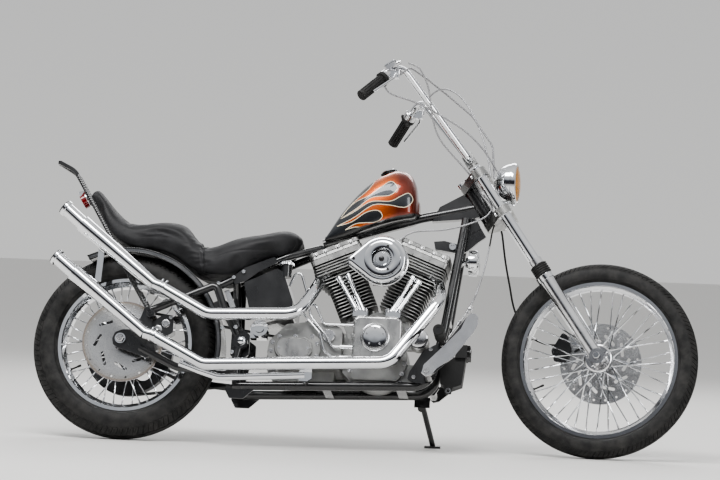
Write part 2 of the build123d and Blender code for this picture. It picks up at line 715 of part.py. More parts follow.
# Chromed bracket bar under the lower pipe, and the strap that holds both mufflers
bar_y = -160.0
strap_y = -153.0
with BuildPart() as exhaust_brackets:
    tube_run([(222, bar_y, 252), (291, bar_y, 228), (363, bar_y, 207), (669, bar_y, 226)], [60, 60], 25)
    side_plate([(650, 204), (650, 254), (694, 254), (694, 214), (680, 204)], bar_y + 8, bar_y - 5)
    side_plate([(-106, 540), (-84, 540), (-78, 672), (-100, 672)], strap_y + 2, strap_y - 2)
    rod((668, bar_y + 4, 210), (668, -rail_y - frame_tube / 2 - seat_gap, 210), 9)
    rod((-92, strap_y + 2, 664), (-92, -fender_half_width - seat_gap, 664), 8)

# Fuel tank: a high, narrow saddle tank over the backbone, lofted through upright sections
tank_stations = (
    {"x": 701, "low": 750, "high": 770, "half_width": 30},
    {"x": 760, "low": 760, "high": 868, "half_width": 58},
    {"x": 840, "low": 788, "high": 962, "half_width": 88},
    {"x": 925, "low": 819, "high": 1018, "half_width": 103},
    {"x": 985, "low": 838, "high": 1014, "half_width": 97},
    {"x": 1016, "low": 846, "high": 970, "half_width": 76},
    {"x": 1028, "low": 858, "high": 905, "half_width": 46},
)
tank_shoulder = 0.5
cap_place = (915.0, 0.0, 1005.0)
cap_tilt = 18.0


def pillow_section(plane, half_width, rise, shoulder, side, foot):
    """A section with a flat foot, bulging sides and a crowned top, as wide as its shoulders."""
    edge = side * half_width
    with BuildSketch(plane) as section:
        with BuildLine():
            crown = ThreePointArc((edge, shoulder * rise), (0, rise), (-edge, shoulder * rise))
            left = TangentArc((-edge, shoulder * rise), (-foot * half_width, 0), tangent=crown % 1)
            right = TangentArc((edge, shoulder * rise), (foot * half_width, 0), tangent=-(crown % 0))
            Line(left @ 1, right @ 1)
        make_face()
    return section.sketch.face()


with BuildPart() as fuel_tank:
    tank_sections = []
    for station in tank_stations:
        section_plane = Plane(origin=(station["x"], 0, station["low"]), x_dir=(0, 1, 0), z_dir=(1, 0, 0))
        tank_sections.append(pillow_section(section_plane, station["half_width"], station["high"] - station["low"],
                                            tank_shoulder, 0.95, 0.78))
    loft(tank_sections)
    tube_run(backbone_line, [300], backbone_tube + 2 * tunnel_gap, mode=Mode.SUBTRACT)
    with BuildSketch(Plane(origin=cap_place, z_dir=(-sin(radians(cap_tilt)), 0, cos(radians(cap_tilt))))):
        Circle(28)
    extrude(amount=24)

# Seat: rider's hollow, passenger step and back pad in one cover, lofted through tilted sections
seat_stations = (
    {"under": (-161, 889), "top": (-150, 909), "half_width": 42},
    {"under": (-122, 822), "top": (-84, 852), "half_width": 60},
    {"under": (-84, 752), "top": (-26, 792), "half_width": 76},
    {"under": (-18, 702), "top": (10, 780), "half_width": 82},
    {"under": (84, 692), "top": (86, 779), "half_width": 88},
    {"under": (160, 670), "top": (168, 783), "half_width": 96},
    {"under": (222, 632), "top": (214, 752), "half_width": 104},
    {"under": (262, 606), "top": (262, 711), "half_width": 114},
    {"under": (330, 588), "top": (322, 714), "half_width": 134},
    {"under": (432, 628), "top": (414, 746), "half_width": 148},
    {"under": (520, 672), "top": (500, 765), "half_width": 138},
    {"under": (592, 704), "top": (572, 779), "half_width": 98},
    {"under": (626, 726), "top": (616, 752), "half_width": 50},
)
seat_shoulder = 0.72
with BuildPart() as seat:
    seat_sections = []
    for station in seat_stations:
        under = Vector(station["under"][0], 0, station["under"][1])
        upward = Vector(station["top"][0], 0, station["top"][1]) - under
        section_plane = Plane(origin=under, x_dir=(0, 1, 0), z_dir=Vector(0, 1, 0).cross(upward))
        seat_sections.append(pillow_section(section_plane, station["half_width"], upward.length, seat_shoulder,
                                            0.84, 0.84))
    loft(seat_sections)

# Rear fender, hugging the tyre
fender_front_angle = -8.0
fender_rear_angle = 116.0
with BuildPart() as rear_fender:
    rear_end = radians(fender_rear_angle)
    with BuildSketch(Plane(origin=(0, 0, rear_tyre_radius), x_dir=(0, 1, 0), z_dir=(sin(rear_end), 0, -cos(rear_end)))):
        inner = fender_radius
        outer = fender_radius + fender_thickness
        edge = fender_half_width
        low = fender_radius - fender_skirt
        Polygon((-edge, low), (-edge, outer), (edge, outer), (edge, low), (edge - fender_thickness, low),
                (edge - fender_thickness, inner), (-edge + fender_thickness, inner),
                (-edge + fender_thickness, low), align=None)
    revolve(axis=rear_axis, revolution_arc=fender_rear_angle - fender_front_angle)

# Sissy bar of square section, with its tail lamp
sissy_line = [(98, -153.5, 438), (16, -135, 566), (-62, -92, 707), (-230, -32, 978), (-292, -14, 1012)]
with BuildPart() as sissy_bar:
    path = sissy_line + [(x, -y, z) for x, y, z in reversed(sissy_line)]
    with BuildLine() as bar_path:
        FilletPolyline(*path, radius=[60, 60, 40, 14, 14, 40, 60, 60])
    with BuildSketch(Plane(origin=bar_path.line @ 0, z_dir=bar_path.line % 0)):
        Rectangle(13, 13)
    sweep()
    for y in (-153.5, 153.5):
        side_disc(96, 440, 14, y - 6, y + 6)
    rod((-172.4, -48, 884.8), (-172.4, 48, 884.8), 5)

lamp_back = Vector(-177.2, 0, 881.8)
lamp_front = Vector(-200.0, 0, 867.6)
with BuildPart() as tail_light:
    rod(tuple(lamp_back), tuple(lamp_front), 27)
    side_plate([(-217, 899), (-192, 906), (-183, 886), (-204, 880)], -21, 21, 3)

# Horn and voltage regulator ahead of the engine; the regulator's bracket ends in a bored tab
tab_hole = (1169.0, 216.0)
tab_hole_radius = 5.25
tab_wall = 8.0
with BuildPart() as horn:
    horn_seat = down_tube(690)[0] + horn_bar_radius + seat_gap
    rod((horn_seat + 24, 0, 692), (horn_seat + 54, 0, 692), 46)
    rod((horn_seat, 0, 690), (horn_seat + 26, 0, 692), 9)

with BuildPart() as regulator:
    block((1210, 0, 358), (42, 92, 46))
    back = regulator_bar[0] + regulator_bar_radius + seat_gap
    side_plate([(1140, 240), (back, 300), (back, 332), (1188, 338), (1226, 334), (1216, 240), (1180, 226)], -34, 34)
    side_plate([(1150, 240), (1158, 204), (1180, 204), (1188, 240)], -34, -34 + tab_wall, 4)
    side_disc(tab_hole[0], tab_hole[1], tab_hole_radius, -40, -20, mode=Mode.SUBTRACT)

# Rear caliper, straddling the disc
caliper_angle = 22.0
with BuildPart() as rear_caliper:
    half_slot = disc_thickness / 2 + disc_slot_clearance
    side_plate([(92, 352), (100, 402), (150, 438), (182, 420), (184, 372), (150, 346)], rear_disc_y - 28,
               rear_disc_y + 26, 8)
    side_disc(0, rear_tyre_radius, disc_radius + disc_slot_clearance, rear_disc_y - half_slot,
              rear_disc_y + half_slot, mode=Mode.SUBTRACT)
    side_disc(104, 368, 8, -swingarm_y + 7 + seat_gap, rear_disc_y - 26)

# Foot controls: a plate on the down tube, a peg and the pedal
peg_x = 1144.0
peg_z = 372.0
control_plate = [(1028, 236), (1034, 262), (1080, 342), (1096, 350), (1160, 384), (1160, 356), (1116, 326),
                 (1128, 250), (1112, 224), (1060, 222)]
pedal_outline = [(1086, 234), (1100, 222), (1122, 228), (1196, 296), (1272, 408), (1276, 440), (1254, 452),
                 (1236, 442), (1156, 326), (1092, 262)]
shift_outline = [(1086, 234), (1100, 222), (1122, 228), (1192, 290), (1186, 308), (1166, 310), (1092, 262)]


def foot_control(side, pedal, pedal_y):
    """Plate, peg and pedal for one side; side is -1 on the right and 1 on the left."""
    plate_y = side * (rail_y + frame_tube / 2 + 2 * seat_gap)
    side_plate(control_plate, plate_y, plate_y + side * 12, 5)
    rod((peg_x, plate_y, peg_z), (peg_x, side * 200, peg_z), 13)
    rod((peg_x, side * 200, peg_z), (peg_x, side * 330, peg_z), 17.5)
    rod((1103, plate_y, 243), (1103, side * (pedal_y + 8), 243), 17)
    side_plate(pedal, side * (pedal_y - 5), side * (pedal_y + 5), 6)


with BuildPart() as foot_controls:
    foot_control(-1, pedal_outline, 236)
    foot_control(1, shift_outline, 236)
    rod((1180, 236, 300), (1180, 300, 300), 11)
    rod((1110, 232, 256), (620, 222, 300), 5)

# Fork: trees, tubes, sliders and the axle
with BuildPart() as triple_trees:
    for height in (lower_tree_height, upper_tree_height):
        with BuildSketch(tree_plane(height)):
            with Locations((-leg_y, 0), (leg_y, 0)):
                Circle(tree_ring_radius)
            with Locations((0, fork_offset)):
                Circle(neck_radius + 2)
            make_hull()
        extrude(amount=tree_thickness / 2, both=True)
    rod(leg_point(lower_tree_height, 0, fork_offset), leg_point(upper_tree_height, 0, fork_offset), stem_radius)
    for y in (-leg_y, leg_y):
        rod(leg_point(lower_tree_height - 30, y), leg_point(upper_tree_height + 30, y),
            fork_tube_diameter / 2 + clamp_gap, mode=Mode.SUBTRACT)
    for y in (-42, 42):
        rod(leg_point(upper_tree_height, y), leg_point(bar_height - bar_diameter / 2 - 2, y), 17)
        with BuildSketch(side_plane(y)):
            with Locations((leg_point(bar_height)[0], leg_point(bar_height)[2])):
                Rectangle(40, 44, rotation=rake)
        extrude(amount=15, both=True)
        side_disc(leg_point(bar_height)[0], leg_point(bar_height)[2], bar_diameter / 2 + clamp_gap, y - 20, y + 20,
                  mode=Mode.SUBTRACT)

with BuildPart() as fork_tubes:
    for y in (-leg_y, leg_y):
        rod(leg_point(seal_top - 60, y), leg_point(tube_top, y), fork_tube_diameter / 2)

caliper_bracket = [(-144, 34), (-140, 90), (-52, 96), (-32, 42), (-60, 20)]
caliper_outline = [(-166, 2), (-178, 42), (-140, 108), (-122, 98), (-104, 48), (-124, -2)]
with BuildPart() as fork_sliders:
    for y in (-leg_y, leg_y):
        rod(leg_point(-30, y), leg_point(slider_top, y), slider_diameter / 2)
        rod(leg_point(slider_top - 2, y), leg_point(slider_top + 28, y), slider_diameter / 2 + 4)
        rod(leg_point(slider_top + 27, y), leg_point(seal_top, y), slider_diameter / 2)
        rod(leg_point(seal_top - 70, y), leg_point(seal_top + 10, y), fork_tube_diameter / 2 + clamp_gap,
            mode=Mode.SUBTRACT)
        side_disc(wheelbase, front_tyre_radius, 27, y - 26, y + 26)
        side_disc(wheelbase, front_tyre_radius, front_axle_radius + fit_gap, y - 40, y + 40, mode=Mode.SUBTRACT)
    side_plate([(wheelbase + x, front_tyre_radius + z) for x, z in caliper_bracket],
               front_disc_y + 24 + seat_gap, front_disc_y + 32)

with BuildPart() as front_axle:
    rod((wheelbase, -leg_y - 34, front_tyre_radius), (wheelbase, leg_y + 34, front_tyre_radius), front_axle_radius)
    side_disc(wheelbase, front_tyre_radius, 15, -leg_y - 26.3, -leg_y - 34)
    side_disc(wheelbase, front_tyre_radius, 15, leg_y + 26.3, leg_y + 34)

# Handlebar, grips and hand controls
grip_end = (860.0, -378.0, 1219.0)
bar_corner = (975.0, -262.0, 1362.0)
bar_mid = leg_point(bar_height, -74)
grip_run = (Vector(*bar_corner) - Vector(*grip_end)).normalized()
with BuildPart() as handlebar:
    tube_run([grip_end, bar_corner, bar_mid, (bar_mid[0], -bar_mid[1], bar_mid[2]),
              (bar_corner[0], -bar_corner[1], bar_corner[2]), (grip_end[0], -grip_end[1], grip_end[2])],
             [48, 24, 24, 48], bar_diameter)
    for side in (1, -1):
        end = Vector(grip_end[0], side * grip_end[1], grip_end[2])
        run = Vector(grip_run.X, side * grip_run.Y, grip_run.Z)
        rod(tuple(end + run * 124), tuple(end + run * 150), 21)
        perch = end + run * 134
        block(tuple(perch + Vector(30, 0, 4)), (34, 30, 24))
        lever_root = perch + Vector(44, 0, 20)
        tube_run([tuple(lever_root - Vector(30, 0, 0)), tuple(lever_root), tuple(lever_root - run * 60 + Vector(20, 0, 4)),
                  tuple(lever_root - run * 150 + Vector(6, 0, 2))], [8, 40], 9)

with BuildPart() as grips:
    for side in (1, -1):
        end = Vector(grip_end[0], side * grip_end[1], grip_end[2])
        run = Vector(grip_run.X, side * grip_run.Y, grip_run.Z)
        rod(tuple(end - run * 4), tuple(end + run * 120), grip_diameter / 2)
        rod(tuple(end + run * 112), tuple(end + run * 122), grip_diameter / 2 + 7)
        rod(tuple(end), tuple(end + run * 140), bar_diameter / 2 + clamp_gap, mode=Mode.SUBTRACT)

# Headlight with its bracket on the lower tree
lamp_x = leg_point(upper_tree_height)[0] + 89.5
lamp_z = leg_point(upper_tree_height)[2] - 13.0
with BuildPart() as headlight:
    with BuildSketch(Plane(origin=(lamp_x, 0, lamp_z), x_dir=(1, 0, 0), z_dir=(0, -1, 0))):
        with BuildLine():
            Line((-42, 0), (-42, 10))
            ThreePointArc((-42, 10), (-22, 56), (20, headlight_radius))
            Polyline((20, headlight_radius), (32, headlight_radius), (36, 0), (-42, 0))
        make_face()
    revolve(axis=Axis((lamp_x, 0, lamp_z), (1, 0, 0)))
    rod(leg_point(lower_tree_height + 18.4, 0, -14), (lamp_x - 20, 0, lamp_z - 20), 9)

# Front caliper on the left leg
with BuildPart() as front_caliper:
    side_plate([(wheelbase + x, front_tyre_radius + z) for x, z in caliper_outline], front_disc_y - 20,
               front_disc_y + 24, 8)
    side_disc(wheelbase, front_tyre_radius, disc_radius + disc_slot_clearance, front_disc_y - half_slot,
              front_disc_y + half_slot, mode=Mode.SUBTRACT)

# Side stand: a leg with a foot
with BuildPart() as side_stand:
    rod(tuple(stand_pivot - fold_axis * stand_hinge_half), tuple(stand_pivot + fold_axis * stand_hinge_half), 15)
    rod(tuple(stand_pivot), tuple(foot_centre + ground_up * 9), 10)
    with BuildSketch(Plane(origin=foot_centre, x_dir=(1, 0, 0), z_dir=ground_up)):
        Rectangle(58, 44)
    extrude(amount=8)
    rod(tuple(stand_pivot - fold_axis * 30), tuple(stand_pivot + fold_axis * 30), 6 + running_gap, mode=Mode.SUBTRACT)

# Cables: the front brake hose, and the throttle cable's two stretches
brake_hose_route = [(981.5, -306, 1313), (1010, -262, 1352), (1060, -180, 1330), (1130, -80, 1290), (1210, -36, 1230),
                    (1290, -34, 1120), (1300, -36, 1000)]
with BuildPart() as steered_cables:
    tube_run(brake_hose_route, [40, 60, 60, 60, 60], 7)

fixed_pieces = {
    "rear_tyre": rear_tyre, "rear_wheel": rear_wheel, "rear_brake_disc": rear_brake_disc,
    "rear_pulley": rear_pulley, "rear_axle": rear_axle, "frame_backbone": frame_backbone,
    "frame_cradle": frame_cradle, "seat_frame": seat_frame, "swingarm": swingarm,
    "crankcase": crankcase, "cam_cover": cam_cover, "pushrod_tubes": pushrod_tubes, "cylinders": cylinders,
    "cylinder_heads": cylinder_heads, "air_cleaner": air_cleaner, "carburettor": carburettor,
    "gearbox": gearbox, "drive_belt": drive_belt, "primary_cover": primary_cover, "oil_tank": oil_tank,
    "oil_lines": oil_lines, "lower_exhaust": lower_exhaust, "upper_exhaust": upper_exhaust,
    "exhaust_brackets": exhaust_brackets, "fuel_tank": fuel_tank, "seat": seat,
    "rear_fender": rear_fender, "sissy_bar": sissy_bar, "tail_light": tail_light, "horn": horn,
    "regulator": regulator, "rear_caliper": rear_caliper, "foot_controls": foot_controls,
    "side_stand": side_stand,
}
steered_pieces = {
    "front_tyre": front_tyre, "front_wheel": front_wheel, "front_brake_disc": front_brake_disc,
    "triple_trees": triple_trees, "fork_tubes": fork_tubes, "fork_sliders": fork_sliders,
    "front_axle": front_axle, "handlebar": handlebar, "grips": grips,
    "headlight": headlight, "front_caliper": front_caliper, "steered_cables": steered_cables,
}
low_corner = Vector(1e9, 1e9, 1e9)
high_corner = Vector(-1e9, -1e9, -1e9)
for pieces, place in ((fixed_pieces, parked), (steered_pieces, steered)):
    for piece in pieces.values():
        piece.part.move(place)
        box = piece.part.bounding_box()
        low_corner = Vector(*[min(a, b) for a, b in zip(low_corner, box.min)])
        high_corner = Vector(*[max(a, b) for a, b in zip(high_corner, box.max)])

# The origin is the middle of the bottom of the whole machine's box
to_origin = Vector(-(low_corner.X + high_corner.X) / 2, -(low_corner.Y + high_corner.Y) / 2, -low_corner.Z)
for pieces in (fixed_pieces, steered_pieces):
    for label, piece in pieces.items():
        piece.part.move(Location(to_origin))
        piece.part.label = label
        export_step(piece.part, f"parts/{label}.step")

print("size", [round(v, 2) for v in high_corner - low_corner], "shift", [round(v, 3) for v in to_origin])
joints = {
    "steering": (parked, leg_point(0, 0, fork_offset), (-rake_sin, 0, rake_cos)),
    "front_wheel_spin": (steered, (wheelbase, 0, front_tyre_radius), (0, 1, 0)),
    "rear_wheel_spin": (parked, (0, 0, rear_tyre_radius), (0, 1, 0)),
    "side_stand_fold": (parked, tuple(stand_pivot), tuple(fold_axis)),
}
mounts = {"bracket_tab_hole": (parked, (tab_hole[0], -34 + tab_wall / 2, tab_hole[1]), (0, -1, 0))}
for name, (place, point, axis) in {**joints, **mounts}.items():
    where = (Location(to_origin) * place * Location(point)).position
    tip = (Location(to_origin) * place * Location(tuple(Vector(*point) + Vector(*axis)))).position
    direction = tip - where
    print("joint" if name in joints else "mount", name, [round(v / 1000, 6) for v in where], [round(v, 6) for v in direction])
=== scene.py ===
"""Looks of the parked chopper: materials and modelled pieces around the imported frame. Metres."""
import json
from math import ceil, cos, exp, hypot, pi, radians, sin, sqrt, tau

import bmesh
import bpy
from mathutils import Matrix, Vector, noise


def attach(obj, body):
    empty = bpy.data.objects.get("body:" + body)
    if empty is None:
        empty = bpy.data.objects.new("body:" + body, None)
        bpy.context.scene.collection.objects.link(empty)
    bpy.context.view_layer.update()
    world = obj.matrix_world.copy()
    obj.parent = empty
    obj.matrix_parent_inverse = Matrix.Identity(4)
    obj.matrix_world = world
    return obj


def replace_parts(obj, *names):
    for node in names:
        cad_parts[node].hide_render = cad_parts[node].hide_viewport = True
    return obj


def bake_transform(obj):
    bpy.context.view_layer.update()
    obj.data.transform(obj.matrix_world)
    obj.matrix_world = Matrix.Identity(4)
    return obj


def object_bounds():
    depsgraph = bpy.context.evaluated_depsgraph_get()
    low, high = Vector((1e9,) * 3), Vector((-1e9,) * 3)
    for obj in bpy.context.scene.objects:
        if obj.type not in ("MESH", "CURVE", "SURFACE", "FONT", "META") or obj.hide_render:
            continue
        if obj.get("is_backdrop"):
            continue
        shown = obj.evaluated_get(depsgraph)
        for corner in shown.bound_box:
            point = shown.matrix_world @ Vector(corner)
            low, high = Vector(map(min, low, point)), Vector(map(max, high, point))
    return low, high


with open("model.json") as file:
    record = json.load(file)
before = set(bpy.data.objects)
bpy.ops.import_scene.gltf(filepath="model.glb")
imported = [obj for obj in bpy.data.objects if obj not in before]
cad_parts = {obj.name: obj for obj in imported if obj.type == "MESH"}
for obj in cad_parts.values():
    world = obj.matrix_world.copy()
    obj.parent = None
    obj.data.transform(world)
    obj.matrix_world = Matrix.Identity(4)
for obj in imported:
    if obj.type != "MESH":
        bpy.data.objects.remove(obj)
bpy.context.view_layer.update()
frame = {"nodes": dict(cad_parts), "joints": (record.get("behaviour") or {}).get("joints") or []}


def add_object(name, data):
    """A new object in the scene that shows its data."""
    obj = bpy.data.objects.new(name, data)
    bpy.context.scene.collection.objects.link(obj)
    return obj


# The motorcycle's own upright frame: X forward from the rear axle, Y to its left, Z up
REAR_RADIUS = 0.337
FRONT_RADIUS = 0.350
WHEELBASE = 1.700
RAKE = radians(34.5)

joints = {joint["name"]: joint for joint in frame["joints"]}
rear_hub = Vector(joints["rear_wheel_spin"]["pos_m"])
left = Vector(joints["rear_wheel_spin"]["axis"]).normalized()
front_hub = Vector(joints["front_wheel_spin"]["pos_m"])
steered_left = Vector(joints["front_wheel_spin"]["axis"]).normalized()
steering_axis = Vector(joints["steering"]["axis"]).normalized()


def axes_matrix(forward, side, up, origin):
    """A placement whose columns are the three directions and the origin."""
    return Matrix((
        (forward.x, side.x, up.x, origin.x),
        (forward.y, side.y, up.y, origin.y),
        (forward.z, side.z, up.z, origin.z),
        (0, 0, 0, 1),
    ))


# The steering axis lies in the motorcycle's middle plane, so with the left it gives forward and up
steer_forward = left.cross(steering_axis).normalized()
bike_up = (steering_axis * cos(RAKE) + steer_forward * sin(RAKE)).normalized()
bike_forward = left.cross(bike_up).normalized()
bike_place = axes_matrix(bike_forward, left, bike_up, rear_hub - bike_up * REAR_RADIUS)
steered_forward = steered_left.cross(steering_axis).normalized()
fork_up = (steering_axis * cos(RAKE) + steered_forward * sin(RAKE)).normalized()
fork_forward = steered_left.cross(fork_up).normalized()
fork_place = axes_matrix(fork_forward, steered_left, fork_up,
                         front_hub - fork_forward * WHEELBASE - fork_up * FRONT_RADIUS)


def bike(x, y, z):
    """A point given in the motorcycle's upright frame, in millimetres."""
    return bike_place @ Vector((x / 1000, y / 1000, z / 1000))


def fork(x, y, z):
    """A point on the steered parts, given with the wheel straight ahead, in millimetres."""
    return fork_place @ Vector((x / 1000, y / 1000, z / 1000))


# The wheels' centres as (x, z), in millimetres
REAR_CENTRE = (0, 337)
FRONT_CENTRE = (1700, 350)


def round_point(centre, y=0.0, radius=0.0, angle=0.0):
    """A point at an angle round a centre given as (x, z), at a distance to the left."""
    return Vector((centre[0] + radius * cos(angle), y, centre[1] + radius * sin(angle)))


def leg_point(height, y=0.0, back=0.0):
    """A point beside the fork legs' line, at a height along it and a distance behind it."""
    x = FRONT_CENTRE[0] - height * sin(RAKE) - back * cos(RAKE)
    z = FRONT_CENTRE[1] + height * cos(RAKE) - back * sin(RAKE)
    return Vector((x, y, z))


LEG_UP = Vector((-sin(RAKE), 0, cos(RAKE)))
LEG_BACK = Vector((-cos(RAKE), 0, -sin(RAKE)))
RIGHT = Vector((0, -1, 0))
LEFT = Vector((0, 1, 0))
FORWARD = Vector((1, 0, 0))
UP = Vector((0, 0, 1))

# Camera, where the photograph was taken from
CAMERA_FROM_HUB = Vector((1.8941, -11.4006, 0.4235))
CAMERA_YAW = radians(5.33)
CAMERA_PITCH = radians(-0.042)
CAMERA_ROLL = radians(2.077)
LENS = 160.0

camera_data = bpy.data.cameras.new("camera")
camera_data.lens = LENS
camera_data.sensor_width = 36.0
camera_data.clip_end = 100.0
camera = add_object("camera", camera_data)
look = Vector((-sin(CAMERA_YAW) * cos(CAMERA_PITCH), cos(CAMERA_YAW) * cos(CAMERA_PITCH), sin(CAMERA_PITCH)))
level_right = Vector((cos(CAMERA_YAW), sin(CAMERA_YAW), 0))
level_up = level_right.cross(look)
camera_right = level_right * cos(CAMERA_ROLL) + level_up * sin(CAMERA_ROLL)
camera_up = camera_right.cross(look)
camera.matrix_world = axes_matrix(camera_right, camera_up, -look, rear_hub + CAMERA_FROM_HUB)
bpy.context.scene.camera = camera


# Materials
def feed(tree, node, inputs):
    """Set a node's inputs, each from a value or from the socket that feeds it."""
    for key, value in inputs.items():
        if isinstance(value, bpy.types.NodeSocket):
            tree.links.new(value, node.inputs[key])
        else:
            node.inputs[key].default_value = value


def add_node(tree, kind, inputs=None):
    """A shader node of a kind, with its inputs."""
    node = tree.nodes.new("ShaderNode" + kind)
    feed(tree, node, inputs or {})
    return node


def new_material(name, base, metallic=0.0, roughness=0.5, more=None):
    """A material with its shader's own sockets set; returns the material, its tree and the shader."""
    material = bpy.data.materials.new(name)
    material.use_nodes = True
    tree = material.node_tree
    shader = tree.nodes["Principled BSDF"]
    feed(tree, shader, {"Base Color": (*base, 1.0), "Metallic": metallic, "Roughness": roughness})
    feed(tree, shader, more or {})
    return material, tree, shader


def row_place(tree):
    """A point's own place in the row frame, as a socket."""
    return add_node(tree, "TexCoord").outputs["Object"]


def noise_node(tree, scale, detail=4.0, stretch=(1, 1, 1), rough=0.5):
    """Noise in the row frame, its scale per metre; returns the factor's socket."""
    mapping = add_node(tree, "Mapping", {"Vector": row_place(tree), "Scale": stretch})
    texture = add_node(tree, "TexNoise", {"Vector": mapping.outputs["Vector"], "Scale": scale})
    feed(tree, texture, {"Detail": detail, "Roughness": rough})
    return texture.outputs["Fac"]


def cell_node(tree, scale, feature="F1"):
    """Distance from the nearest cell's middle in the row frame, its scale per metre."""
    cells = add_node(tree, "TexVoronoi")
    cells.feature = feature
    feed(tree, cells, {"Vector": row_place(tree), "Scale": scale})
    return cells.outputs["Distance"]


def ramp_node(tree, factor, stops):
    """A colour ramp over a factor, from (position, colour) pairs."""
    node = add_node(tree, "ValToRGB", {"Fac": factor})
    elements = node.color_ramp.elements
    while len(elements) < len(stops):
        elements.new(0.5)
    for element, (position, colour) in zip(elements, stops):
        element.position = position
        element.color = (*colour, 1.0)
    return node.outputs["Color"]


def spread(tree, factor, low, high, start=0.3, end=0.7):
    """Map a factor between a start and an end onto a range of values."""
    node = add_node(tree, "MapRange", {"Value": factor, "From Min": start, "From Max": end})
    feed(tree, node, {"To Min": low, "To Max": high})
    return node.outputs["Result"]


def bump_node(tree, shader, height, distance, strength=1.0, under=None):
    """Bump on the shader's normal, its distance in metres; may lie over another bump."""
    node = add_node(tree, "Bump", {"Height": height, "Distance": distance, "Strength": strength})
    if under is not None:
        feed(tree, node, {"Normal": under})
    feed(tree, shader, {"Normal": node.outputs["Normal"]})
    return node.outputs["Normal"]


def math_node(tree, operation, first, second=None, kind="Math", result=0):
    """One step of arithmetic on sockets, numbers or vectors."""
    node = add_node(tree, kind)
    node.operation = operation
    feed(tree, node, {0: first} if second is None else {0: first, 1: second})
    return node.outputs[result]


def dot_node(tree, place, direction):
    """How far a vector socket reaches along a direction."""
    return math_node(tree, "DOT_PRODUCT", place, direction, "VectorMath", "Value")


def mix_node(tree, factor, first, second):
    """Mix two colours, given as sockets or triples, by a factor socket."""
    node = add_node(tree, "Mix")
    node.data_type = "RGBA"
    feed(tree, node, {"Factor": factor})
    for key, value in (("A", first), ("B", second)):
        colour = (*value, 1.0) if isinstance(value, tuple) else value
        index = [i for i, socket in enumerate(node.inputs) if socket.name == key and socket.type == "RGBA"][0]
        feed(tree, node, {index: colour})
    return [socket for socket in node.outputs if socket.type == "RGBA"][0]


def metal(name, dark, light, low, high, scale, bump_scale, bump_height, stretch=(1, 1, 1)):
    """A metal whose colour and roughness wander between two values, with a fine grain."""
    material, tree, shader = new_material(name, light, 1.0, (low + high) / 2)
    wander = noise_node(tree, scale, 6.0, stretch)
    tone = noise_node(tree, scale * 0.37, 3.0)
    feed(tree, shader, {"Roughness": spread(tree, wander, low, high),
                        "Base Color": ramp_node(tree, tone, [(0.32, dark), (0.68, light)])})
    bump_node(tree, shader, noise_node(tree, bump_scale, 3.0, stretch), bump_height)
    return material


def paint(name, base, coat_roughness=0.03, dust=(0.014, 0.014, 0.015)):
    """Coated enamel with a trace of orange peel and a thin uneven film of dust."""
    coat = {"Coat Weight": 1.0, "Coat Roughness": coat_roughness}
    material, tree, shader = new_material(name, base, 0.0, 0.35, coat)
    film = noise_node(tree, 14, 7.0)
    feed(tree, shader, {"Base Color": ramp_node(tree, film, [(0.45, base), (0.8, dust)]),
                        "Roughness": spread(tree, film, 0.22, 0.42)})
    bump_node(tree, shader, noise_node(tree, 420, 2.0), 0.00006)
    return material


def rubber_material(name, low, high, roughness, grain):
    """Rubber: dust and scuffs over black, with a fine mottled grain."""
    material, tree, shader = new_material(name, low, 0.0, roughness, {"Specular IOR Level": 0.35})
    scuff = noise_node(tree, 26, 9.0, rough=0.62)
    feed(tree, shader, {"Base Color": ramp_node(tree, scuff, [(0.38, low), (0.72, high)]),
                        "Roughness": spread(tree, scuff, roughness - 0.08, roughness + 0.12)})
    bump_node(tree, shader, noise_node(tree, grain, 4.0), 0.00018)
    return material


chrome = metal("chrome", (0.74, 0.75, 0.77), (0.88, 0.89, 0.90), 0.035, 0.11, 22, 160, 0.00002)
polished = metal("polished_aluminium", (0.66, 0.66, 0.67), (0.80, 0.80, 0.81), 0.12, 0.24, 40, 900, 0.00003,
                 (1, 1, 0.2))
cast = metal("cast_aluminium", (0.30, 0.30, 0.295), (0.47, 0.47, 0.46), 0.30, 0.48, 34, 1400, 0.00014)
satin = metal("machined_aluminium", (0.40, 0.40, 0.40), (0.58, 0.58, 0.57), 0.24, 0.38, 60, 1800, 0.00004,
              (1, 1, 0.1))
steel = metal("bright_steel", (0.46, 0.46, 0.47), (0.66, 0.66, 0.67), 0.18, 0.32, 70, 1200, 0.00003)
dark_steel = metal("dark_steel", (0.05, 0.05, 0.052), (0.11, 0.11, 0.112), 0.28, 0.42, 60, 900, 0.00004)
enamel = paint("black_enamel", (0.006, 0.006, 0.007))
fender_paint = paint("fender_enamel", (0.008, 0.008, 0.009), 0.05, (0.022, 0.022, 0.023))
band_paint = paint("band_enamel", (0.075, 0.078, 0.084), 0.08, (0.12, 0.12, 0.125))
rubber = rubber_material("rubber", (0.010, 0.010, 0.010), (0.028, 0.027, 0.026), 0.55, 700)
tyre_rubber = rubber_material("tyre_rubber", (0.012, 0.012, 0.012), (0.050, 0.048, 0.046), 0.62, 520)
belt_rubber = rubber_material("belt_rubber", (0.012, 0.012, 0.012), (0.03, 0.03, 0.03), 0.7, 900)

crinkle, tree, shader = new_material("crinkle_black", (0.012, 0.012, 0.012))
feed(tree, shader, {"Roughness": spread(tree, noise_node(tree, 30), 0.42, 0.6)})
bump_node(tree, shader, noise_node(tree, 950, 3.0), 0.00025)

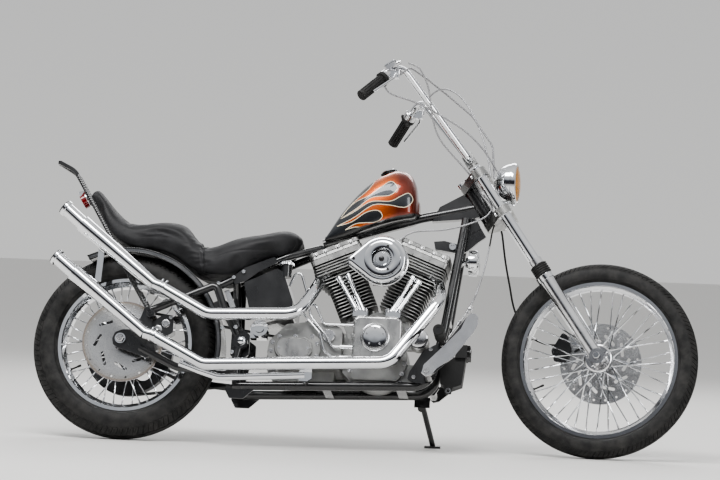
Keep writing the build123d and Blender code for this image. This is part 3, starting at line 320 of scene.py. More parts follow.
# Leather: pores and fine creases, with a soft sheen
leather, tree, shader = new_material("leather", (0.018, 0.018, 0.019), 0.0, 0.42, {
    "Specular IOR Level": 0.35, "Sheen Weight": 0.03, "Sheen Roughness": 0.5})
pores = bump_node(tree, shader, cell_node(tree, 520, "SMOOTH_F1"), 0.00022, 0.8)
bump_node(tree, shader, noise_node(tree, 24, 6.0), 0.0016, 0.5, pores)
hide = noise_node(tree, 18, 6.0)
hide_stops = [(0.35, (0.012, 0.012, 0.013)), (0.7, (0.030, 0.030, 0.032))]
feed(tree, shader, {"Base Color": ramp_node(tree, hide, hide_stops),
                    "Roughness": spread(tree, hide, 0.50, 0.66)})

# The tail lamp's red lens, and the headlight's fluted amber glass
red_glass, tree, shader = new_material("red_lens", (0.22, 0.002, 0.003), 0.0, 0.08, {
    "Transmission Weight": 0.15, "Coat Weight": 1.0})
bump_node(tree, shader, noise_node(tree, 260, 1.0), 0.0003, 0.4)
amber_glass, tree, shader = new_material("amber_glass", (0.95, 0.42, 0.05), 0.0, 0.03, {
    "Transmission Weight": 0.55, "IOR": 1.5})
flutes = add_node(tree, "TexWave", {"Vector": row_place(tree), "Scale": 60})
bump_node(tree, shader, flutes.outputs["Fac"], 0.0004, 0.6)

# Braided hose: a fine steel weave
braid, tree, shader = new_material("braided_steel", (0.7, 0.7, 0.7), 0.75, 0.42)
weave = cell_node(tree, 900)
feed(tree, shader, {"Base Color": ramp_node(tree, weave, [(0.2, (0.52, 0.52, 0.53)),
                                                          (0.8, (0.24, 0.24, 0.25))])})
bump_node(tree, shader, weave, 0.0003)

DISC_RADIUS = 0.146


def disc_material(name, centre, axis, stops):
    """A ground brake disc: rings left by the pads, and a colour that changes with the radius."""
    material, tree, shader = new_material(name, (0.6, 0.6, 0.6), 1.0, 0.24)
    offset = math_node(tree, "SUBTRACT", row_place(tree), centre, "VectorMath")
    across = math_node(tree, "CROSS_PRODUCT", offset, axis, "VectorMath")
    radius = math_node(tree, "LENGTH", across, None, "VectorMath", "Value")
    texture = add_node(tree, "TexNoise")
    texture.noise_dimensions = "1D"
    feed(tree, texture, {"Scale": 2600, "W": radius})
    share = math_node(tree, "MULTIPLY", radius, 1 / DISC_RADIUS)
    feed(tree, shader, {"Roughness": spread(tree, texture.outputs["Fac"], 0.16, 0.36),
                        "Base Color": ramp_node(tree, share, stops)})
    bump_node(tree, shader, texture.outputs["Fac"], 0.00006)
    return material


# The rear disc's edge is faintly tinted by heat
rear_disc_metal = disc_material("rear_disc_steel", rear_hub, left, [
    (0.0, (0.56, 0.56, 0.56)), (0.80, (0.72, 0.72, 0.72)), (0.93, (0.62, 0.60, 0.57)),
    (0.97, (0.58, 0.50, 0.42)), (1.0, (0.46, 0.42, 0.42))])
front_disc_metal = disc_material("front_disc_steel", front_hub, steered_left, [
    (0.0, (0.45, 0.45, 0.45)), (0.80, (0.62, 0.62, 0.62)), (1.0, (0.66, 0.66, 0.66))])

# Cylinder fins: satin black on their faces, bright where their edges are machined
VEE_HALF = radians(22.5)
ENGINE_TILT = radians(1.0)
CRANK = (909.0, 0.0, 317.0)
EDGE_ON = 0.4


def bank_axes(direction):
    """Up along a cylinder and outwards away from the other one, in the upright frame."""
    angle = direction * VEE_HALF - ENGINE_TILT
    return Vector((sin(angle), 0, cos(angle))), Vector((direction * cos(angle), 0, -direction * sin(angle)))


fins, tree, shader = new_material("cylinder_fins", (0.016, 0.016, 0.016), 0.0, 0.45)
normal = add_node(tree, "TexCoord").outputs["Normal"]
facing = []
for direction in (1, -1):
    bank_up = (bike_place.to_3x3() @ bank_axes(direction)[0]).normalized()
    facing.append(math_node(tree, "ABSOLUTE", dot_node(tree, normal, bank_up)))
crank_along = bike(*CRANK).dot(bike_forward)
ahead = math_node(tree, "GREATER_THAN", dot_node(tree, row_place(tree), bike_forward), crank_along)
facing_front = math_node(tree, "MULTIPLY", facing[0], ahead)
facing_rear = math_node(tree, "MULTIPLY", facing[1], math_node(tree, "SUBTRACT", 1.0, ahead))
edge_on = math_node(tree, "LESS_THAN", math_node(tree, "ADD", facing_front, facing_rear), EDGE_ON)
bright = ramp_node(tree, noise_node(tree, 90, 5.0), [(0.3, (0.40, 0.40, 0.39)), (0.7, (0.66, 0.66, 0.65))])
feed(tree, shader, {"Base Color": mix_node(tree, edge_on, (0.014, 0.014, 0.014), bright),
                    "Metallic": math_node(tree, "MULTIPLY", edge_on, 0.95)})
bump_node(tree, shader, noise_node(tree, 1300, 3.0), 0.00012)

# The slot that each material belongs to, unless a piece says otherwise
SLOTS = {chrome: "chrome", polished: "chrome", steel: "chrome", braid: "chrome", cast: "engine_metal",
         satin: "engine_metal", rubber: "tyre_rubber", tyre_rubber: "tyre_rubber", enamel: "black_frame",
         band_paint: "black_frame", crinkle: "black_frame", dark_steel: "pulley_black", red_glass: "lamp_red"}


# Shapes in mesh code, in millimetres of the upright motorcycle
LEAST_RADIUS = 0.05
BOTH_CAPS, NEAR_CAP, FAR_CAP, OPEN = (True, True), (True, False), (False, True), (False, False)


class Shape:
    """A mesh built up from rings, tubes and turned profiles, then placed and made into one object."""

    def __init__(self):
        self.points = []
        self.faces = []

    def add(self, points, faces):
        """Add points and the faces between them."""
        start = len(self.points)
        self.points.extend(Vector(point) for point in points)
        self.faces.extend([start + index for index in face] for face in faces)

    def rings(self, rings, caps=BOTH_CAPS, closed=False):
        """Join rings of as many points each, one after another."""
        count = len(rings[0])
        faces = []
        for number in range(len(rings) - (0 if closed else 1)):
            after = (number + 1) % len(rings)
            for index in range(count):
                beside = (index + 1) % count
                faces.append((number * count + index, number * count + beside, after * count + beside,
                              after * count + index))
        if caps[0] and not closed:
            faces.append(tuple(range(count)))
        if caps[1] and not closed:
            faces.append(tuple((len(rings) - 1) * count + index for index in range(count)))
        self.add([point for ring in rings for point in ring], faces)

    def lathe(self, origin, axis, profile, sides=28, caps=BOTH_CAPS):
        """Turn (along, radius) pairs about an axis."""
        origin = Vector(origin)
        axis = Vector(axis).normalized()
        axes = cross_axes(axis)
        rings = []
        for along, radius in profile:
            middle = origin + axis * along
            reach = max(radius, LEAST_RADIUS)
            rings.append([middle + around(axes, tau * i / sides) * reach for i in range(sides)])
        self.rings(rings, caps)

    def tube(self, path, radius, sides=10, caps=BOTH_CAPS):
        """A round tube along points; the radius is a number or one for each point."""
        radii = radius if isinstance(radius, list) else [radius] * len(path)
        rings = []
        for point, axes, size in zip(path, carried_axes(path), radii):
            rings.append([point + around(axes, tau * i / sides) * size for i in range(sides)])
        self.rings(rings, caps)

    def bolt(self, place, axis, radius=6.0, height=5.0, socket=True):
        """A hexagon head, or a round head with a hexagon socket."""
        place = Vector(place)
        axis = Vector(axis).normalized()
        if socket:
            self.lathe(place, axis, [(0, radius), (height * 0.85, radius), (height, radius * 0.86),
                                     (height, radius * 0.55)], 18, OPEN)
            self.lathe(place, axis, [(height, radius * 0.55), (height * 0.45, radius * 0.5)], 6, FAR_CAP)
        else:
            self.lathe(place, axis, [(0, radius * 1.25), (height * 0.2, radius * 1.25)], 18, FAR_CAP)
            self.lathe(place, axis, [(height * 0.2, radius), (height * 0.9, radius), (height, radius * 0.86)],
                       6, FAR_CAP)

    def slab(self, outline, offset, bevel=0.0):
        """Extrude a flat outline of points by a vector, its far edge drawn in by a bevel."""
        outline = [Vector(point) for point in outline]
        offset = Vector(offset)
        middle = sum(outline, Vector()) / len(outline)
        far = [point + offset for point in outline]
        if bevel:
            near_far = [point + offset * (1 - bevel / offset.length) for point in outline]
            far = [point + (middle + offset - point).normalized() * bevel for point in far]
            self.rings([outline, near_far, far])
        else:
            self.rings([outline, far])

    def make(self, name, material, body="frame", angle=32, slot=None):
        """Make the object in its material, riding on a body where one is given; its slot is looked up but not
        used.
        """
        place = fork_place if body in ("fork", "front_wheel") else bike_place
        mesh = bpy.data.meshes.new(name)
        mesh.from_pydata([place @ (point / 1000) for point in self.points], [], self.faces)
        draft = bmesh.new()
        draft.from_mesh(mesh)
        bmesh.ops.recalc_face_normals(draft, faces=draft.faces)
        draft.to_mesh(mesh)
        draft.free()
        mesh.shade_smooth()
        mesh.set_sharp_from_angle(angle=radians(angle))
        mesh.materials.append(material)
        obj = add_object(name, mesh)
        if body is not None:
            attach(obj, body)
        slot = slot or SLOTS.get(material)
        return obj


def around(axes, angle):
    """The direction at an angle between two directions square to each other."""
    return axes[0] * cos(angle) + axes[1] * sin(angle)


def cross_axes(axis):
    """Two directions square to an axis."""
    helper = UP if abs(axis.z) < 0.9 else FORWARD
    first = axis.cross(helper).normalized()
    return first, axis.cross(first).normalized()


def carried_axes(path):
    """At each point of a path, two directions square to it that turn as little as they can."""
    found = []
    first = None
    for index, point in enumerate(path):
        before = path[max(index - 1, 0)]
        after = path[min(index + 1, len(path) - 1)]
        along = (after - before).normalized()
        if first is None:
            first = cross_axes(along)[0]
        first = (first - along * first.dot(along)).normalized()
        found.append((first, along.cross(first).normalized()))
    return found


def smooth_path(points, steps=8):
    """Points on a smooth curve through the given ones."""
    points = [Vector(point) for point in points]
    found = []
    for index in range(len(points) - 1):
        a = points[max(index - 1, 0)]
        b = points[index]
        c = points[index + 1]
        d = points[min(index + 2, len(points) - 1)]
        for step in range(steps):
            t = step / steps
            found.append(0.5 * (2 * b + (c - a) * t + (2 * a - 5 * b + 4 * c - d) * t * t
                                + (3 * b - a - 3 * c + d) * t * t * t))
    found.append(points[-1])
    return found


def even_path(path, spacing):
    """The same line with its points evenly spaced."""
    lengths = [0.0]
    for first, second in zip(path, path[1:]):
        lengths.append(lengths[-1] + (second - first).length)
    count = max(2, int(ceil(lengths[-1] / spacing)))
    found = []
    index = 0
    for number in range(count + 1):
        target = lengths[-1] * number / count
        while index < len(path) - 2 and lengths[index + 1] < target:
            index += 1
        span = lengths[index + 1] - lengths[index]
        share = (target - lengths[index]) / span if span else 0.0
        found.append(path[index].lerp(path[index + 1], min(1.0, share)))
    return found


def rounded_path(points, radius, steps=7):
    """Straight runs whose corners are rounded by about a radius."""
    points = [Vector(point) for point in points]
    found = [points[0]]
    for before, corner, after in zip(points, points[1:], points[2:]):
        back = before - corner
        on = after - corner
        reach = min(radius, back.length * 0.48, on.length * 0.48)
        start = corner + back.normalized() * reach
        end = corner + on.normalized() * reach
        for step in range(steps + 1):
            t = step / steps
            found.append(start * (1 - t) ** 2 + corner * 2 * t * (1 - t) + end * t * t)
    found.append(points[-1])
    return found


def smooth_step(value):
    """Ease from 0 to 1."""
    value = min(1.0, max(0.0, value))
    return value * value * (3 - 2 * value)


# Tyres: crowned casings with cut treads. Rows run across the tread by angle, columns along it by share
WALL, EDGE, SHOULDER, LIP, GROOVE, CENTRE = range(6)
CUTS = {WALL: (0, 0, 0), EDGE: (0, 2.0, 0), SHOULDER: (0, 3.4, 1.2), LIP: (0, 3.4, 0),
        GROOVE: (4.2, 4.2, 4.2), CENTRE: (0, 0, 0)}
TREAD_EDGE = 56
half_rows = [(1.8, GROOVE), (2.4, CENTRE), (10, CENTRE), (19, CENTRE), (20, GROOVE), (24, GROOVE), (25, LIP),
             (27, LIP), (38, SHOULDER), (46, SHOULDER), (53, SHOULDER), (TREAD_EDGE, EDGE),
             (TREAD_EDGE + 1, EDGE)]
half_rows += [(angle, WALL) for angle in range(62, 111, 6)]
tread_rows = [(-angle, kind) for angle, kind in reversed(half_rows)] + half_rows
tread_columns = [(0.0, 0), (0.03, 1), (0.20, 1), (0.23, 0), (0.50, 0), (0.53, 2), (0.62, 2), (0.65, 0)]
WALL_STEPS = (0.12, 0.3, 0.34, 0.4, 0.44, 0.6, 0.8, 1.0)
WALL_RIB = (0.34, 0.4)
RIB_HEIGHT = 0.9
ZIGZAG = 1.6


def make_tyre(node, body, axle, tyre_radius, width, rim_radius, rim_half, pitches, phase):
    """A tyre turned from its section, its tread cut by columns and rows that follow the blocks."""
    crown = width / 2
    centre = tyre_radius - crown
    wall = (crown * cos(radians(20)), centre - crown * sin(radians(20)))
    bead = (rim_half + 2, rim_radius + 4)
    columns = [(pitch, share, kind) for pitch in range(pitches) for share, kind in tread_columns]

    def at_turn(y, radius, turn):
        return round_point(axle, y, radius, tau * turn / pitches + phase)

    def wall_rings(side):
        found = []
        for t in WALL_STEPS:
            lift = RIB_HEIGHT if t in WALL_RIB else 0.0
            found.append((wall[0] + (bead[0] - wall[0]) * t + lift, wall[1] + (bead[1] - wall[1]) * t))
        found.append((rim_half - 6, rim_radius - 6))
        return [[at_turn(side * y, radius, pitch + share) for pitch, share, _ in columns] for y,
                radius in found]

    def tread_ring(angle, row_kind):
        sign = -1 if angle < 0 else 1
        slant = 0.055 * (abs(angle) / TREAD_EDGE) ** 1.5 * pitches / tau if row_kind != WALL else 0.0
        stagger = 0.5 if sign > 0 else 0.0
        points = []
        for pitch, share, kind in columns:
            aside = 0.0
            if row_kind in (LIP, GROOVE, CENTRE):
                aside = ZIGZAG if pitch % 2 else -ZIGZAG
            elif row_kind == EDGE:
                aside = (2.2 if share < 0.5 else -3.0) * (1 - share)
            local = radians(angle + sign * aside)
            reach = crown - CUTS[row_kind][kind]
            points.append(at_turn(reach * sin(local), centre + reach * cos(local),
                                  pitch + share + stagger + slant))
        return points

    shape = Shape()
    shape.rings(wall_rings(-1)[::-1] + [tread_ring(*row) for row in tread_rows] + wall_rings(1), OPEN)
    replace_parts(shape.make(node + "_tread", tyre_rubber, body, angle=38), node)


make_tyre("rear_tyre", "rear_wheel", REAR_CENTRE, 337, 122, 242.4, 42, 104, 0.0)
make_tyre("front_tyre", "front_wheel", FRONT_CENTRE, 350, 88, 281, 28, 124, 0.4)

# Spoke nipples, hub bolts and valves
SPOKES = 40
SPOKE_CROSSING = 2.5
DISC_BOLTS = 5
VALVE_ANGLE = radians(205)


def wheel_details(name, body, axle, hub_radius, hub_y, rim_radius, rim_y, disc_y, disc_out, bolt_circle):
    """Nipples where the spokes meet the rim, the disc's bolts, and the valve."""
    shape = Shape()
    per_flange = SPOKES // 2
    for flange, side in ((0, -1), (1, 1)):
        for number in range(per_flange):
            at_rim = tau / per_flange * (number + flange / 2)
            lean = tau / per_flange * (SPOKE_CROSSING if number % 2 else -SPOKE_CROSSING)
            start = round_point(axle, side * hub_y, hub_radius, at_rim + lean)
            end = round_point(axle, side * rim_y, rim_radius, at_rim)
            inward = (start - end).normalized()
            shape.lathe(end, inward, [(-2, 4.2), (1.5, 4.2), (3, 3.4), (15, 3.1), (17, 2.4)], 8)
            shape.lathe(start - inward * 3, RIGHT * side, [(-5, 3.6), (-3.5, 4.2), (-2, 3.6)], 8)
    for number in range(DISC_BOLTS):
        shape.bolt(round_point(axle, disc_y, bolt_circle, tau * number / DISC_BOLTS + 0.3), disc_out, 6.5, 5)
    shape.make(name, steel, body)
    valve = Shape()
    root = round_point(axle, 0, rim_radius - 2, VALVE_ANGLE)
    inward = (round_point(axle) - root).normalized()
    valve.lathe(root, inward, [(0, 5), (3, 5), (4, 3.2), (26, 3.2), (27, 4.2), (38, 4.2), (40, 2.5)], 14)
    valve.make(name + "_valve", rubber, body)


wheel_details("rear_wheel_fittings", "rear_wheel", REAR_CENTRE, 41, 31, 217.4, 10, -94.5, RIGHT, 30)
wheel_details("front_wheel_fittings", "front_wheel", FRONT_CENTRE, 34, 35.5, 256, 6, 67.5, LEFT, 26)

hub_cover = Shape()
cover_profile = [(42, 30), (42, 49), (44, 51.5), (58, 51.5), (61, 49.5), (62, 46), (63.5, 44), (63.5, 31),
                 (61.5, 29.5), (61.5, 26)]
hub_cover.lathe(round_point(FRONT_CENTRE), RIGHT, cover_profile, 56, OPEN)
for number in range(5):
    hub_cover.bolt(round_point(FRONT_CENTRE, -63, 37.5, tau * number / 5 + 0.5), RIGHT, 5.5, 2.4)
hub_cover.make("front_hub_cover", polished, "front_wheel")

# Fuel tank: the CAD's stations, smoothed, in graphite with traditional orange flames, and painted shade along
# its underside
tank_stations = [(701, 750, 771, 30), (760, 758, 870, 58), (840, 784, 963, 88), (925, 813, 1018, 103),
                 (985, 830, 1015, 97), (1016, 838, 974, 78), (1028, 850, 912, 50)]
half_section = [(0, 0), (0.45, 0), (0.72, 0.002), (0.85, 0.05), (0.925, 0.18), (0.955, 0.34), (0.945, 0.50),
                (0.87, 0.68), (0.69, 0.84), (0.37, 0.96), (0, 1.0)]
flame_runs = [
    [(866, 970), (846, 934), (792, 886), (752, 835)],
    [(752, 835), (795, 884), (856, 911), (898, 944), (930, 964), (954, 938), (928, 909), (862, 901),
     (811, 863), (752, 828)],
    [(752, 828), (804, 852), (860, 885), (931, 887), (969, 908), (996, 921), (1011, 897), (984, 868),
     (926, 873), (868, 872), (804, 830), (740, 800)],
    [(740, 800), (794, 813), (846, 846), (889, 852), (905, 831), (880, 811), (812, 806), (772, 785)],
    [(772, 785), (810, 794), (849, 789)],
]
flame_edge = []
for run in flame_runs:
    flame_edge += [(point.x, point.z) for point in smooth_path([(x, 0, z) for x, z in run], 6)]
flame_edge += [(852, 760), (1080, 760), (1080, 1080), (880, 1080)]


def flame_distance(x, z):
    """How far inside the flames a point of the tank's side is, in millimetres; negative outside."""
    nearest = 1e9
    inside = False
    for (x0, z0), (x1, z1) in zip(flame_edge, flame_edge[1:] + flame_edge[:1]):
        dx, dz = x1 - x0, z1 - z0
        length = dx * dx + dz * dz
        share = ((x - x0) * dx + (z - z0) * dz) / length if length else 0.0
        share = min(1.0, max(0.0, share))
        nearest = min(nearest, hypot(x - x0 - share * dx, z - z0 - share * dz))
        if (z0 > z) != (z1 > z) and x < x0 + (z - z0) * dx / (z1 - z0):
            inside = not inside
    return nearest if inside else -nearest


TANK_RINGS = 170
TANK_ROUND = 200
station_path = smooth_path([Vector((x, low, high)) for x, low, high, _ in tank_stations], 30)
width_path = smooth_path([Vector((x, width, 0)) for x, _, _, width in tank_stations], 30)
section_path = even_path(smooth_path([Vector((w, 0, h)) for w, h in half_section], 12), 0.01)
half_count = TANK_ROUND // 2
tank_rings = []
for number in range(TANK_RINGS):
    share = 0.5 - 0.5 * cos(pi * number / (TANK_RINGS - 1))
    index = share * (len(station_path) - 1)
    here = min(int(index), len(station_path) - 2)
    x, low, high = station_path[here].lerp(station_path[here + 1], index - here)
    width = width_path[here].lerp(width_path[here + 1], index - here).y
    ring = []
    for step in range(TANK_ROUND):
        side = 1 if step < half_count else -1
        along = (step / half_count) if side > 0 else (2 - step / half_count)
        point = section_path[min(int(along * (len(section_path) - 1)), len(section_path) - 1)]
        ring.append(Vector((x, side * point.x * width, low + point.z * (high - low))))
    tank_rings.append(ring)
for end, direction in ((tank_rings[0], -1), (tank_rings[-1], 1)):
    middle = sum(end, Vector()) / len(end)
    for t in (0.35, 0.6, 0.8, 0.93, 1.0):
        shrink = max(sqrt(max(0.0, 1 - t * t)), 0.01)
        ring = [middle + (point - middle) * shrink + FORWARD * (direction * 7 * t) for point in end]
        if direction < 0:
            tank_rings.insert(0, ring)
        else:
            tank_rings.append(ring)
tank = Shape()
tank.rings(tank_rings)
tank_paint, tree, shader = new_material("tank_paint", (0.5, 0.15, 0.05), 0.75, 0.34, {
    "Coat Weight": 1.0, "Coat Roughness": 0.025})
tank_object = tank.make("painted_tank", tank_paint, angle=60, slot="tank_paint")
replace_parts(tank_object, "fuel_tank")


def stored_values(name, values):
    """Store a value at each of the tank's points, and read it in its paint as a socket."""
    tank_object.data.attributes.new(name, "FLOAT", "POINT")
    tank_object.data.attributes[name].data.foreach_set("value", values)
    node = add_node(tree, "Attribute")
    node.attribute_name = name
    return node.outputs["Fac"]


STRIPE_HALF = 1.35
FRONT_DARKENS, FRONT_DARK = bike(898, 0, 900).dot(bike_forward), bike(962, 0, 900).dot(bike_forward)
from_edge = stored_values("paint_edge", [flame_distance(point.x, point.z) for point in tank.points])
# Painted shade: below a slanted line along the tank's bottom the paint goes near black, standing in for the
# shade under the tank
under = stored_values("painted_shade_under", [smooth_step((759 + (point.x - 701) * 0.30 - point.z) / 3)
                                      for point in tank.points])
front = spread(tree, dot_node(tree, row_place(tree), bike_forward), 0.0, 1.0, FRONT_DARKENS, FRONT_DARK)
orange = mix_node(tree, front, (0.66, 0.135, 0.022), (0.17, 0.026, 0.012))
graphite = ramp_node(tree, noise_node(tree, 9, 2.0), [(0.3, (0.035, 0.038, 0.042)),
                                                      (0.7, (0.060, 0.064, 0.072))])
colour = mix_node(tree, math_node(tree, "GREATER_THAN", from_edge, 0.0), graphite, orange)
stripe = math_node(tree, "LESS_THAN", math_node(tree, "ABSOLUTE", from_edge), STRIPE_HALF)
colour = mix_node(tree, stripe, colour, (0.80, 0.70, 0.52))
# Painted shade: the underside is mixed to near black, and both it and the pinstripe lose their metallic flake
colour = mix_node(tree, under, colour, (0.006, 0.006, 0.006))
bare = math_node(tree, "MULTIPLY", math_node(tree, "MAXIMUM", stripe, under), 0.75)
feed(tree, shader, {"Base Color": colour, "Metallic": math_node(tree, "SUBTRACT", 0.75, bare)})
bump_node(tree, shader, cell_node(tree, 1700), 0.00009, 0.5)

# Filler cap, low and flush, on a black gasket
cap_up = Vector((-sin(radians(20)), 0, cos(radians(20))))
CAP_FOOT = Vector((917, 0, 1006))
cap = Shape()
cap.lathe(CAP_FOOT, cap_up, [(13.5, 31), (16, 31), (17.5, 29.5), (18.5, 20), (19, 0)], 48, FAR_CAP)
cap.make("filler_cap", chrome)
cap_foot = Shape()
cap_foot.lathe(CAP_FOOT, cap_up, [(0, 28), (13.5, 28)], 48)
for number in range(24):
    angle = tau * number / 24
    out = around(cross_axes(cap_up), angle)
    cap_foot.lathe(CAP_FOOT + cap_up * 7 + out * 28.4, cap_up, [(0, 1.6), (6.4, 1.6)], 6)
cap_foot.make("filler_neck", enamel, slot="tank_black")

# Twisted square sissy bar: turned along its legs, straight above the bend
sissy_line = [(98, -153.5, 438), (16, -135, 566), (-62, -92, 707), (-230, -32, 978), (-292, -14, 1012)]
SISSY_HALF = 6.5
TWIST_PITCH = 40.0
TWIST_LOW, TWIST_HIGH = 452, 962
BAR_STEP = 2.5


def square_bar(shape, path, half, turns):
    """A square bar along a path; turns gives its angle at each point."""
    rings = []
    for point, axes, turn in zip(path, carried_axes(path), turns):
        angles = [tau * (corner + share) / 4 + turn for corner in range(4) for share in (0.38, 0.62)]
        rings.append([point + around(axes, angle) * half * 1.30 for angle in angles])
    shape.rings(rings)


sissy = Shape()
for side in (1, -1):
    corners = [Vector((x, y * side, z)) for x, y, z in sissy_line]
    path = even_path(rounded_path(corners, 22), BAR_STEP)
    turns = []
    turn = 0.0
    for point in path:
        if TWIST_LOW < point.z < TWIST_HIGH:
            turn += tau * BAR_STEP / TWIST_PITCH * side
        turns.append(turn)
    square_bar(sissy, path, SISSY_HALF, turns)
top_path = even_path(rounded_path([Vector((-292, -14, 1012)), Vector((-298, 0, 1015)),
                                   Vector((-292, 14, 1012))], 8), 2)
square_bar(sissy, top_path, SISSY_HALF, [0.0] * len(top_path))
for side in (1, -1):
    sissy.lathe((103, -142 * side, 430), RIGHT * side, [(-4, 15), (12, 15), (14, 13)], 28)
    sissy.bolt((103, -156 * side, 430), RIGHT * side, 7.5, 6)
sissy_object = sissy.make("twisted_sissy_bar", enamel, angle=35)
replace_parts(sissy_object, "sissy_bar")
lamp_rod = Shape()
lamp_rod.tube([Vector((-172.4, y, 884.8)) for y in (-48, -16, 16, 48)], 5, 12)
lamp_rod.make("sissy_cross_rod", enamel)

# Seat: leather over foam, pressed out by a cloth run, then creased along its seams
seat_node = frame["nodes"]["seat"]
seat_object = add_object("leather_seat", seat_node.data.copy())
seat_object.matrix_world = seat_node.matrix_world
into_bike = bike_place.inverted()


def apply_modifiers(obj):
    """Turn the modifiers' result into the object's own mesh."""
    graph = bpy.context.evaluated_depsgraph_get()
    mesh = bpy.data.meshes.new_from_object(obj.evaluated_get(graph))
    obj.modifiers.clear()
    obj.data = mesh


remesh = seat_object.modifiers.new("even", "REMESH")
remesh.mode = "VOXEL"
remesh.voxel_size = 0.006
draw_in = seat_object.modifiers.new("draw_in", "DISPLACE")
draw_in.strength = -0.001
draw_in.mid_level = 0.0
apply_modifiers(seat_object)
seat_start = [vertex.co.copy() for vertex in seat_object.data.vertices]
cloth = seat_object.modifiers.new("swell", "CLOTH")
cloth.settings.use_pressure = True
cloth.settings.uniform_pressure_force = 4.0
cloth.settings.effector_weights.gravity = 0.0
cloth.settings.tension_stiffness = 12
cloth.settings.compression_stiffness = 12
cloth.settings.bending_stiffness = 2.0
for step in range(1, 15):
    bpy.context.scene.frame_set(step)
apply_modifiers(seat_object)
bpy.context.scene.frame_set(1)
SEAT_SWELL = 0.0070
to_bike = into_bike @ seat_object.matrix_world
for vertex, start in zip(seat_object.data.vertices, seat_start):
    move = vertex.co - start
    if move.length > SEAT_SWELL:
        vertex.co = start + move.normalized() * SEAT_SWELL
smooth_seat = seat_object.modifiers.new("smooth", "SMOOTH")
smooth_seat.iterations = 4
smooth_seat.factor = 0.5
divide = seat_object.modifiers.new("divide", "SUBSURF")
divide.levels = 1
divide.render_levels = 1
apply_modifiers(seat_object)
# The seam crosses the step between the two seats; the passenger's part is crowned behind it
STEP_X, STEP_Z, STEP_LEAN = 264.0, 700, 0.10
SEAM_DEPTH, SEAM_WIDTH = 5.0, 5.0
TOP_FROM_Z = 590
CROWN_LIFT, CROWN_X, CROWN_REACH, CROWN_ENDS = 12.0, 108, 88, 250


def bell(distance, width):
    """1 at no distance, fading over a width."""
    return exp(-(distance / width) ** 2)


turn_to_bike = to_bike.to_3x3()
out_of_bike = turn_to_bike.inverted()
seat_normals = [(turn_to_bike @ vertex.normal).normalized() for vertex in seat_object.data.vertices]
for vertex, normal in zip(seat_object.data.vertices, seat_normals):
    place = to_bike @ vertex.co * 1000
    side = abs(place.y)
    seam = place.x - (STEP_X + STEP_LEAN * (STEP_Z - place.z))
    on_top = smooth_step((place.z - TOP_FROM_Z) / 40)
    lift = (1.8 * bell(abs(seam) - 10, SEAM_WIDTH) - SEAM_DEPTH * bell(seam, SEAM_WIDTH)) * on_top
    lift += 2.6 * noise.noise(Vector((place.x * 0.02, place.y * 0.05, place.z * 0.09))) * bell(seam, 48.0)
    gather = sin(place.z * 0.16 + 3.0 * noise.noise(place * 0.012))
    lift += 1.3 * gather * bell(seam - 16, 22.0) * smooth_step((side - 60) / 40)
    crease = place.z - (650 + (place.x - 300) * 0.18 + 6 * sin(place.x * 0.02))
    in_run = smooth_step((place.x - 290) / 40) * smooth_step((540 - place.x) / 60)
    lift -= 1.7 * bell(crease, 4.0) * in_run * smooth_step((side - 70) / 30)
    crown = smooth_step((normal.z - 0.1) / 0.5) * smooth_step((CROWN_ENDS - place.x) / 40)
    lift += crown * CROWN_LIFT * bell(place.x - CROWN_X, CROWN_REACH)
    lift += 0.9 * noise.noise(place * 0.014) + 0.35 * noise.noise(place * 0.05)
    vertex.co += out_of_bike @ normal * (lift / 1000)
seat_object.data.shade_smooth()
seat_object.data.materials.clear()
seat_object.data.materials.append(leather)
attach(seat_object, "frame")
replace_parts(seat_object, "seat")

# Rear fender: a band along each edge of its skirt, between beads twisted like rope
def fender_arc(radius, y, start, end, step=0.012):
    """Points along the fender round the rear axle."""
    count = int((end - start) / step)
    turns = [start + (end - start) * number / count for number in range(count + 1)]
    return [round_point(REAR_CENTRE, y, radius, turn) for turn in turns]


fender_beads = Shape()
fender_band = Shape()
for side in (1, -1):
    for radius in (350.0, 335.5):
        arc = fender_arc(radius, side * 73.0, radians(-7.6), radians(115.6), 0.0085)
        square_bar(fender_beads, arc, 2.0, [index * 0.55 for index in range(len(arc))])
    inner = fender_arc(336.5, side * 72.9, radians(-7.4), radians(115.4))
    outer = fender_arc(349.5, side * 72.9, radians(-7.4), radians(115.4))
    fender_band.rings([[low_point, high_point, high_point + RIGHT * side * 0.8,
                        low_point + RIGHT * side * 0.8]
                       for low_point, high_point in zip(inner, outer)])
for end in (-7.9, 115.9):
    line = [round_point(REAR_CENTRE, y, 350.5, radians(end)) for y in range(-72, 73, 6)]
    fender_beads.tube(line, 3.0, 8)
fender_beads.make("fender_beads", enamel, angle=40)
fender_band.make("fender_band", band_paint)

# Headlight: bezel, domed lens, reflector and its shell's rear cap
lamp_centre = leg_point(790) + Vector((89.5, 0, -13.0))
bezel = Shape()
bezel.lathe(lamp_centre, FORWARD, [(18, 75.0), (22, 76.5), (31, 76.5), (37, 74.5), (39.5, 70), (39, 67),
                                   (34, 66.5)],
            72, OPEN)
bezel.lathe(lamp_centre, FORWARD, [(-44, 1), (-46, 9), (-44, 14), (-40, 16)], 32, NEAR_CAP)
bezel.bolt(lamp_centre + Vector((28, 0, -76)), -UP, 4, 5, False)
bezel.make("headlight_bezel", chrome, "fork")
lens = Shape()
lens.lathe(lamp_centre, FORWARD, [(35, 67), (37, 66), (42, 56), (46, 40), (48.5, 20), (49.3, 0)], 72, FAR_CAP)
lens.make("headlight_lens", amber_glass, "fork")
reflector = Shape()
reflector.lathe(lamp_centre, FORWARD, [(36.4, 66), (37.2, 50), (37.4, 14), (40, 12), (42, 0)], 48, FAR_CAP)
reflector.make("headlight_reflector", chrome, "fork")

